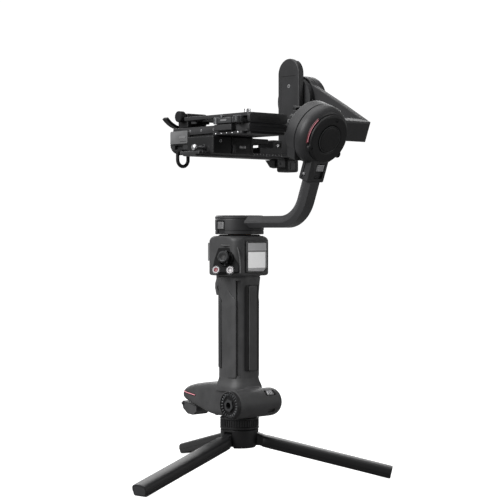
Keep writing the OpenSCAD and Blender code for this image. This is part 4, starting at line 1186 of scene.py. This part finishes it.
def cross_slide():
    body = soft_block("cross_slide_body", (-49, -19, 303.7), (1, 19, 320), 1.1)
    shelf = soft_block("shelf", (-4, -11, 314.8), (27.5, 11, 320), 0.8)
    carve(body, shelf, operation="UNION")
    out = towards((1, 0, 0))
    carve(body,
          block("rail_way", (-50, -14.3, 302), (2, 14.3, 306.3)),
          block("rear_line", (-27.2, -20, 303), (-26.2, -18.0, 321)),
          soft_block("rear_bed", (-18.5, -20, 306.2), (-2.5, -18.4, 317.6), 0.5, segments=2),
          lathe("pin_way", [(0.1, -60), (2.3, -60), (2.3, -32), (0.1, -32)], at(0, -6, PIN_HEIGHT) @ out, 40))
    dress(body, "deep", "cross_slide", "cross_slide")
    clip = soft_block("slide_clip", (-25, -19.9, 305), (-21.6, -17.5, 312.6), 0.6)
    dress(clip, "metal", "cross_slide")
    marks = [soft_block("mark", (-16 + 1.6 * k, -18.65, 309.4), (-15.3 + 1.6 * k, -18.3, 311.8), 0.02,
                        segments=1) for k in range(5)]
    dress(join("slide_marks", *marks), "silver", "cross_slide")
    rim = [(1.6, -2), (3.3, -2), (3.3, 0.9), (2.9, 1.3), (1.9, 1.3), (1.6, 1.0)]
    dress(ring_lathe("pin_guide", rim, at(-49, -6, PIN_HEIGHT) @ towards((-1, 0, 0)), 48), "dark_anodised",
          "cross_slide")
    for n, (x, side) in enumerate(((-40, -1), (-10, 1), (-40, 1))):
        screw(f"slide_screw_{n + 1}", "cross_slide",
              at(x, side * 19.05, 315.5 if side < 0 else 312) @ towards((0, side, 0)), 1.6)
    pin = lathe("slide_pin", [(0.1, -15), (2.2, -15), (2.2, -2), (1.45, -1.6), (1.45, 9), (2.0, 9.6), (2.9,
                                                                                                       10.6),
                                                                                                       (3.05,
                                                                                                        12),
                              (2.6, 13.4), (1.4, 14), (0.1, 14)],
                              at(-49, -6, PIN_HEIGHT) @ towards((-1, 0, 0)), 48)
    dress(pin, "steel", "cross_slide_pin", "cross_slide_pin")


# ------------------------------------------------------------------ camera deck

def deck():
    """The tray that slides forwards and back, its front block and its fixed clamp jaw."""
    tray = prism("camera_deck", rounded_outline(48, 110, 4, 6, (-17, -3)), 322.7, 330)
    soften_edges(tray, 0.8, 3)
    keel = soft_block("keel", (-38, -57.5, 320.4), (5, 51.5, 323.5), 0.8)
    rails = [soft_block("side_rail", (x, -45.6, 328), (x + 4.4, -14, 335.9), 1.0) for x in (-41, 2.6)]
    front = soft_block("front", (-41, 26, 309), (-14, 52, 324), 1.4)
    jaw = soft_block("jaw", (-46.6, -41, 324.2), (-40, -16.4, 330), 1.0)
    lip = prism("lip", rounded_outline(6, 42, 2.4, 5, (-40.2, -31)), 320.5, 323.4)
    soften_edges(lip, 0.6, 3)
    rear = slab("rear", rounded_outline(48, 6.8, 2.4, 6, (-17, 326.9)), -59.4, -54, "y")
    soften_edges(rear, 0.6, 3)
    carve(tray, keel, *rails, front, jaw, lip, rear, operation="UNION")
    carve(tray,
          soft_block("bed", (-30, -52, 324.7), (-4, 20, 331), 0.6, segments=2),
          soft_block("rail_gap", (-36.6, -56, 329.2), (2.6, -14, 336), 0.05, segments=1),
          lathe("knob_way", [(0.1, 36), (3.1, 36), (3.1, 60), (0.1, 60)],
                at(-28, 0, 315.5) @ towards((0, 1, 0)), 40),
          soft_block("window", (-43, 35, 309.8), (-37.6, 47, 313.8), 0.5, segments=2),
          block("rear_line", (-42, -60, 326.9), (8, -58.9, 327.5)))
    dress(tray, "metal", "deck", "slide_rail")
    lugs = []
    for x in (-40, -33.6):
        lug = soft_block("lug", (x, 38, 304.4), (x + 2.4, 45, 310), 0.6)
        lugs.append(carve(lug, lathe("pin_way", [(0.1, -44), (1.6, -44), (1.6, -24), (0.1, -24)],
                                     at(0, 41.5, 306.6) @ towards((1, 0, 0)), 32)))
    dress(join("ring_lugs", *lugs), "deep", "deck")
    plate = slab("label_block", rounded_outline(25.8, 12.2, 1.6, 5, (38.6, 321)), -43.2, -39, "x")
    soften_edges(plate, 0.5, 3)
    carve(plate, block("slot", (-44, 27, 316.6), (-42.5, 36, 317.3)))
    dress(plate, "pale", "deck")
    oval = slab("blank_label", rounded_outline(9.6, 2.2, 1.05, 6, (33.2, 321.2)), -43.3, -43.1, "x")
    dress(oval, "silver", "deck")
    dots = []
    for k in range(5):
        place = at(-43.15, -15.5 - 7.6 * k, 322.0) @ towards((-1, 0, 0))
        dots.append(lathe("dot", [(0.1, -1), (0.75, -1), (0.75, 0.1), (0.55, 0.25), (0.1, 0.25)], place, 20))
    dress(join("deck_dots", *dots), "steel", "deck")
    for n, y in enumerate((-10, 8, 24)):
        screw(f"deck_screw_{n + 1}", "deck", at(-41.05, y, 326.4) @ towards((-1, 0, 0)), 1.3)
    for n, y in enumerate((31, 47)):
        screw(f"front_screw_{n + 1}", "deck", at(-20, y, 308.95) @ towards((0, 0, -1)), 1.4)


def deck_knob():
    place = at(-28, 60, 315.5) @ towards((0, -1, 0))
    knob = knurled("deck_knob_body", 9, 0, 7.6, place, 30, 0.6, 0.9)
    carve(knob, ring_lathe("face", [(5.6, -1), (6.4, -1), (6.4, 0.6), (5.6, 0.6)], place, 64))
    shaft = lathe("shaft", [(0.1, 5), (2.95, 5), (2.95, 23), (0.1, 23)], place, 40)
    dress(join("deck_knob_body", knob, shaft), "deep", "deck_knob", "slide_lock_knob")


def plate():
    """Quick-release plate with its rounded rear grip, rubber strips and a slot for the screw."""
    top = prism("camera_plate", rounded_outline(48, 95, 4, 6, (-17, -12.5)), 336.5, 340)
    soften_edges(top, 0.6, 3)
    keel = soft_block("keel", (-36.0, -58, 330.4), (2.0, -12, 337), 1.0)
    rear = slab("rear", rounded_outline(47.6, 9.4, 3.6, 7, (-17.2, 335.2)), -60, -56.3, "y")
    soften_edges(rear, 0.8, 3)
    bar = soft_block("bar", (-25, 33, 334.6), (-9, 50, 338.4), 0.6)
    carve(top, keel, rear, bar, operation="UNION")
    strips = [block("strip_bed", (x - 1.6, -50, 339.2), (x + 1.6, 20, 341)) for x in (-34, 0)]
    carve(top,
          *strips,
          prism("slot", rounded_outline(6, 30, 2.9, 6, (-17, 11)), 330, 345),
          lathe("screw_way", [(0.1, 320), (3.2, 320), (3.2, 350), (0.1, 350)], at(-17, -30, 0), 40),
          lathe("head_way", [(0.1, 325), (9.4, 325), (9.4, 335.5), (0.1, 335.5)], at(-17, -30, 0), 64),
          *[block("rear_groove", (-30, -61, z), (-4, -59.5, z + 0.5)) for z in (333.6, 335.4)])
    dress(top, "metal", "plate", "quick_release_plate")
    for x, name in ((-34, "plate_strip_left"), (0, "plate_strip_right")):
        pad = [soft_block("pad", (x - 1.5, -49.8, 339.0), (x + 1.5, 19.8, 340.1), 0.3)]
        pad += [soft_block("rib", (x - 1.3, -48 + 4 * k, 340), (x + 1.3, -46.6 + 4 * k, 340.3), 0.12,
                           segments=1) for k in range(17)]
        dress(join(name, *pad), "rubber", "plate")
    for n, (x, y) in enumerate(((-26, -8), (-8, -8), (-26, 27), (-8, 27))):
        screw(f"plate_screw_{n + 1}", "plate", at(x, y, 340.03), 1.5)


def plate_clamp():
    """Clamp lever beside the plate, with a knurled grip at its free end."""
    hub = lathe("hub", [(0.1, 330.5), (3.5, 330.5), (3.5, 335.9), (3.0, 336.4), (0.1, 336.4)],
                at(-45.2, -20, 0), 48)
    arm = soft_block("arm", (-46.9, -47, 330.7), (-42.3, -19, 336.0), 0.9)
    knob = knurled("knob", 4.6, 330.5, 337, at(-46.1, -50, 0), 22, 0.45, 0.6)
    carve(arm, block("line", (-48, -42.4, 330), (-42, -41.6, 337)))
    stud = lathe("stud", [(0.1, 336), (1.9, 336), (1.9, 338.0), (1.4, 338.5), (0.1, 338.5)],
                 at(-45.2, -27, 0), 32)
    dress(join("plate_clamp_body", hub, arm, knob, stud), "anodised", "plate_lever", "quick_release_lever")
    mark = slab("clamp_mark", rounded_outline(8.4, 1.6, 0.75, 5, (-30.6, 333.6)), -47.05, -46.7, "x")
    dress(mark, "silver", "plate_lever")


# ------------------------------------------------------------------ lens support

def lens_support():
    body = soft_block("lens_support_body", (-29, 42, 331), (-5, 56, 345), 1.3)
    lug = soft_block("lug", (-23, 54.5, 331), (-11, 61.6, 338.4), 0.7)
    carve(body, lug, operation="UNION")
    carve(body,
          block("bar_way", (-25.3, 40, 334.3), (-8.7, 54.4, 338.7)),
          block("key_way", (-19.3, 58.2, 330), (-14.7, 62, 340)),
          lathe("knob_way", [(0.1, -31), (2.1, -31), (2.1, -20), (0.1, -20)],
                at(0, 48.5, 341.8) @ towards((1, 0, 0)), 32))
    dress(body, "deep", "lens_support", "lens_support_block")
    screw("support_screw", "lens_support", at(-17, 49, 345.03), 1.6)
    place = at(-29.5, 48.5, 341.8) @ towards((-1, 0, 0))
    knob = knurled("knob", 5.4, 0, 6.5, place, 24, 0.45, 0.6)
    shaft = lathe("shaft", [(0.1, -7.5), (2.0, -7.5), (2.0, 1), (0.1, 1)], place, 32)
    dress(join("support_knob_body", knob, shaft), "deep", "lens_knob", "lens_support_knob")
    lower, upper = -90 - 48, -90 + 48
    outline = arc_points(29.5, lower, upper, 40, (-17, 360)) + arc_points(26.5, upper, lower, 40, (-17, 360))
    strap = soften_edges(slab("lens_strap", outline, 62.4, 69.4, "y"), 0.7, 3, 40)
    stem = soft_block("stem", (-22, 62, 331.4), (-12, 65, 338.2), 0.5)
    key = soft_block("key", (-19, 58.5, 332), (-15, 62.4, 338.2), 0.3)
    carve(strap, stem, key, operation="UNION")
    dress(strap, "deep", "lens_cradle", "lens_cradle")
    lining = arc_points(26.7, lower + 2, upper - 2, 40, (-17, 360)) + arc_points(26.0, upper - 2, lower + 2,
                                                                                 40, (-17, 360))
    pad = soften_edges(slab("lens_strap_lining", lining, 65.6, 68.8, "y"), 0.2, 2, 40)
    dress(pad, "rubber", "lens_cradle")


def build_pieces():
    tripod_hub()
    tripod_collar()
    for n in range(3):
        tripod_leg(n)
    base_body()
    base_cover()
    base_slider()
    rosette()
    grip()
    head_body()
    trigger()
    screen()
    console()
    thumb_controls()
    lamp_window()
    pan_neck()
    pan_ring()
    pan_arm()
    roll_stator()
    roll_cap()
    roll_rotor()
    roll_clamp()
    roll_arm()
    tilt_arm()
    cross_slide()
    deck()
    deck_knob()
    plate()
    plate_clamp()
    lens_support()


# ------------------------------------------------------------------ studio

def add_area(name, place, target, size, power):
    lamp = bpy.data.lights.new(name, "AREA")
    lamp.shape = "RECTANGLE"
    lamp.size, lamp.size_y = size
    lamp.energy = power
    holder = bpy.data.objects.new(name, lamp)
    bpy.context.scene.collection.objects.link(holder)
    holder.location = place
    holder.rotation_euler = (Vector(target) - Vector(place)).to_track_quat("-Z", "Y").to_euler()


def studio():
    """A white room: soft boxes at both sides and above, and a dim side behind the camera."""
    scene = bpy.context.scene
    scene.view_settings.view_transform = "Standard"
    world = bpy.data.worlds.new("studio")
    scene.world = world
    world.use_nodes = True
    nodes, links = world.node_tree.nodes, world.node_tree.links
    lighting = nodes["Background"]
    lighting.inputs["Color"].default_value = (1.0, 1.0, 1.0, 1)
    lighting.inputs["Strength"].default_value = 0.33
    backdrop = add_node(nodes, "ShaderNodeBackground", Color=(1.0, 1.0, 1.0, 1), Strength=1.05)
    path = nodes.new("ShaderNodeLightPath")
    mix = nodes.new("ShaderNodeMixShader")
    links.new(path.outputs["Is Camera Ray"], mix.inputs["Fac"])
    links.new(lighting.outputs["Background"], mix.inputs[1])
    links.new(backdrop.outputs["Background"], mix.inputs[2])
    links.new(mix.outputs["Shader"], nodes["World Output"].inputs["Surface"])
    middle = (0, 0, 0.22)
    add_area("left_box", (-1.25, 0.15, 0.95), (0, 0, 0.3), (0.7, 0.9), 28)
    add_area("right_box", (0.9, -1.5, 0.55), middle, (0.7, 1.2), 6.5)
    add_area("back_box", (0.9, 1.3, 0.9), middle, (1.6, 1.0), 16)
    add_area("top_box", (-0.1, 0.1, 1.6), middle, (1.5, 1.5), 20)

    bpy.ops.mesh.primitive_plane_add(size=12, location=(0, 0, -0.0002))
    floor = bpy.context.object
    floor.name = "floor"
    material, nodes, links, shader = new_material("floor_paper")
    grain = add_node(nodes, "ShaderNodeTexNoise", Scale=400.0, Detail=2.0)
    bump = add_node(nodes, "ShaderNodeBump", Strength=0.03, Distance=0.05 * MM)
    links.new(grain.outputs["Fac"], bump.inputs["Height"])
    links.new(bump.outputs["Normal"], shader.inputs["Normal"])
    shader.inputs["Base Color"].default_value = (0.22, 0.22, 0.22, 1)
    shader.inputs["Emission Color"].default_value = (1, 1, 1, 1)
    seen = nodes.new("ShaderNodeLightPath")
    paper_white = nodes.new("ShaderNodeMath")
    paper_white.operation = "MULTIPLY"
    paper_white.inputs[1].default_value = 1.0
    links.new(seen.outputs["Is Camera Ray"], paper_white.inputs[0])
    links.new(paper_white.outputs["Value"], shader.inputs["Emission Strength"])
    shader.inputs["Roughness"].default_value = 0.9
    floor.data.materials.append(material)


def camera():
    """Eye level with the lower arm, behind the user's left shoulder, 1.4 m away."""
    heading = math.radians(42)
    droop = math.radians(0.87)
    distance, aside, eye = 1.381, 0.010, 0.235
    forward = Vector((math.sin(heading), math.cos(heading), 0))
    right = Vector((math.cos(heading), -math.sin(heading), 0))
    lens = bpy.data.cameras.new("camera")
    lens.lens = 104.4
    lens.sensor_width = 36
    lens.clip_start = 0.05
    holder = bpy.data.objects.new("camera", lens)
    bpy.context.scene.collection.objects.link(holder)
    holder.location = aside * right - distance * forward + Vector((0, 0, eye))
    look = forward * math.cos(droop) - Vector((0, 0, math.sin(droop)))
    holder.rotation_euler = look.to_track_quat("-Z", "Y").to_euler()
    bpy.context.scene.camera = holder


camera()
studio()
dress_cad_nodes()
build_pieces()
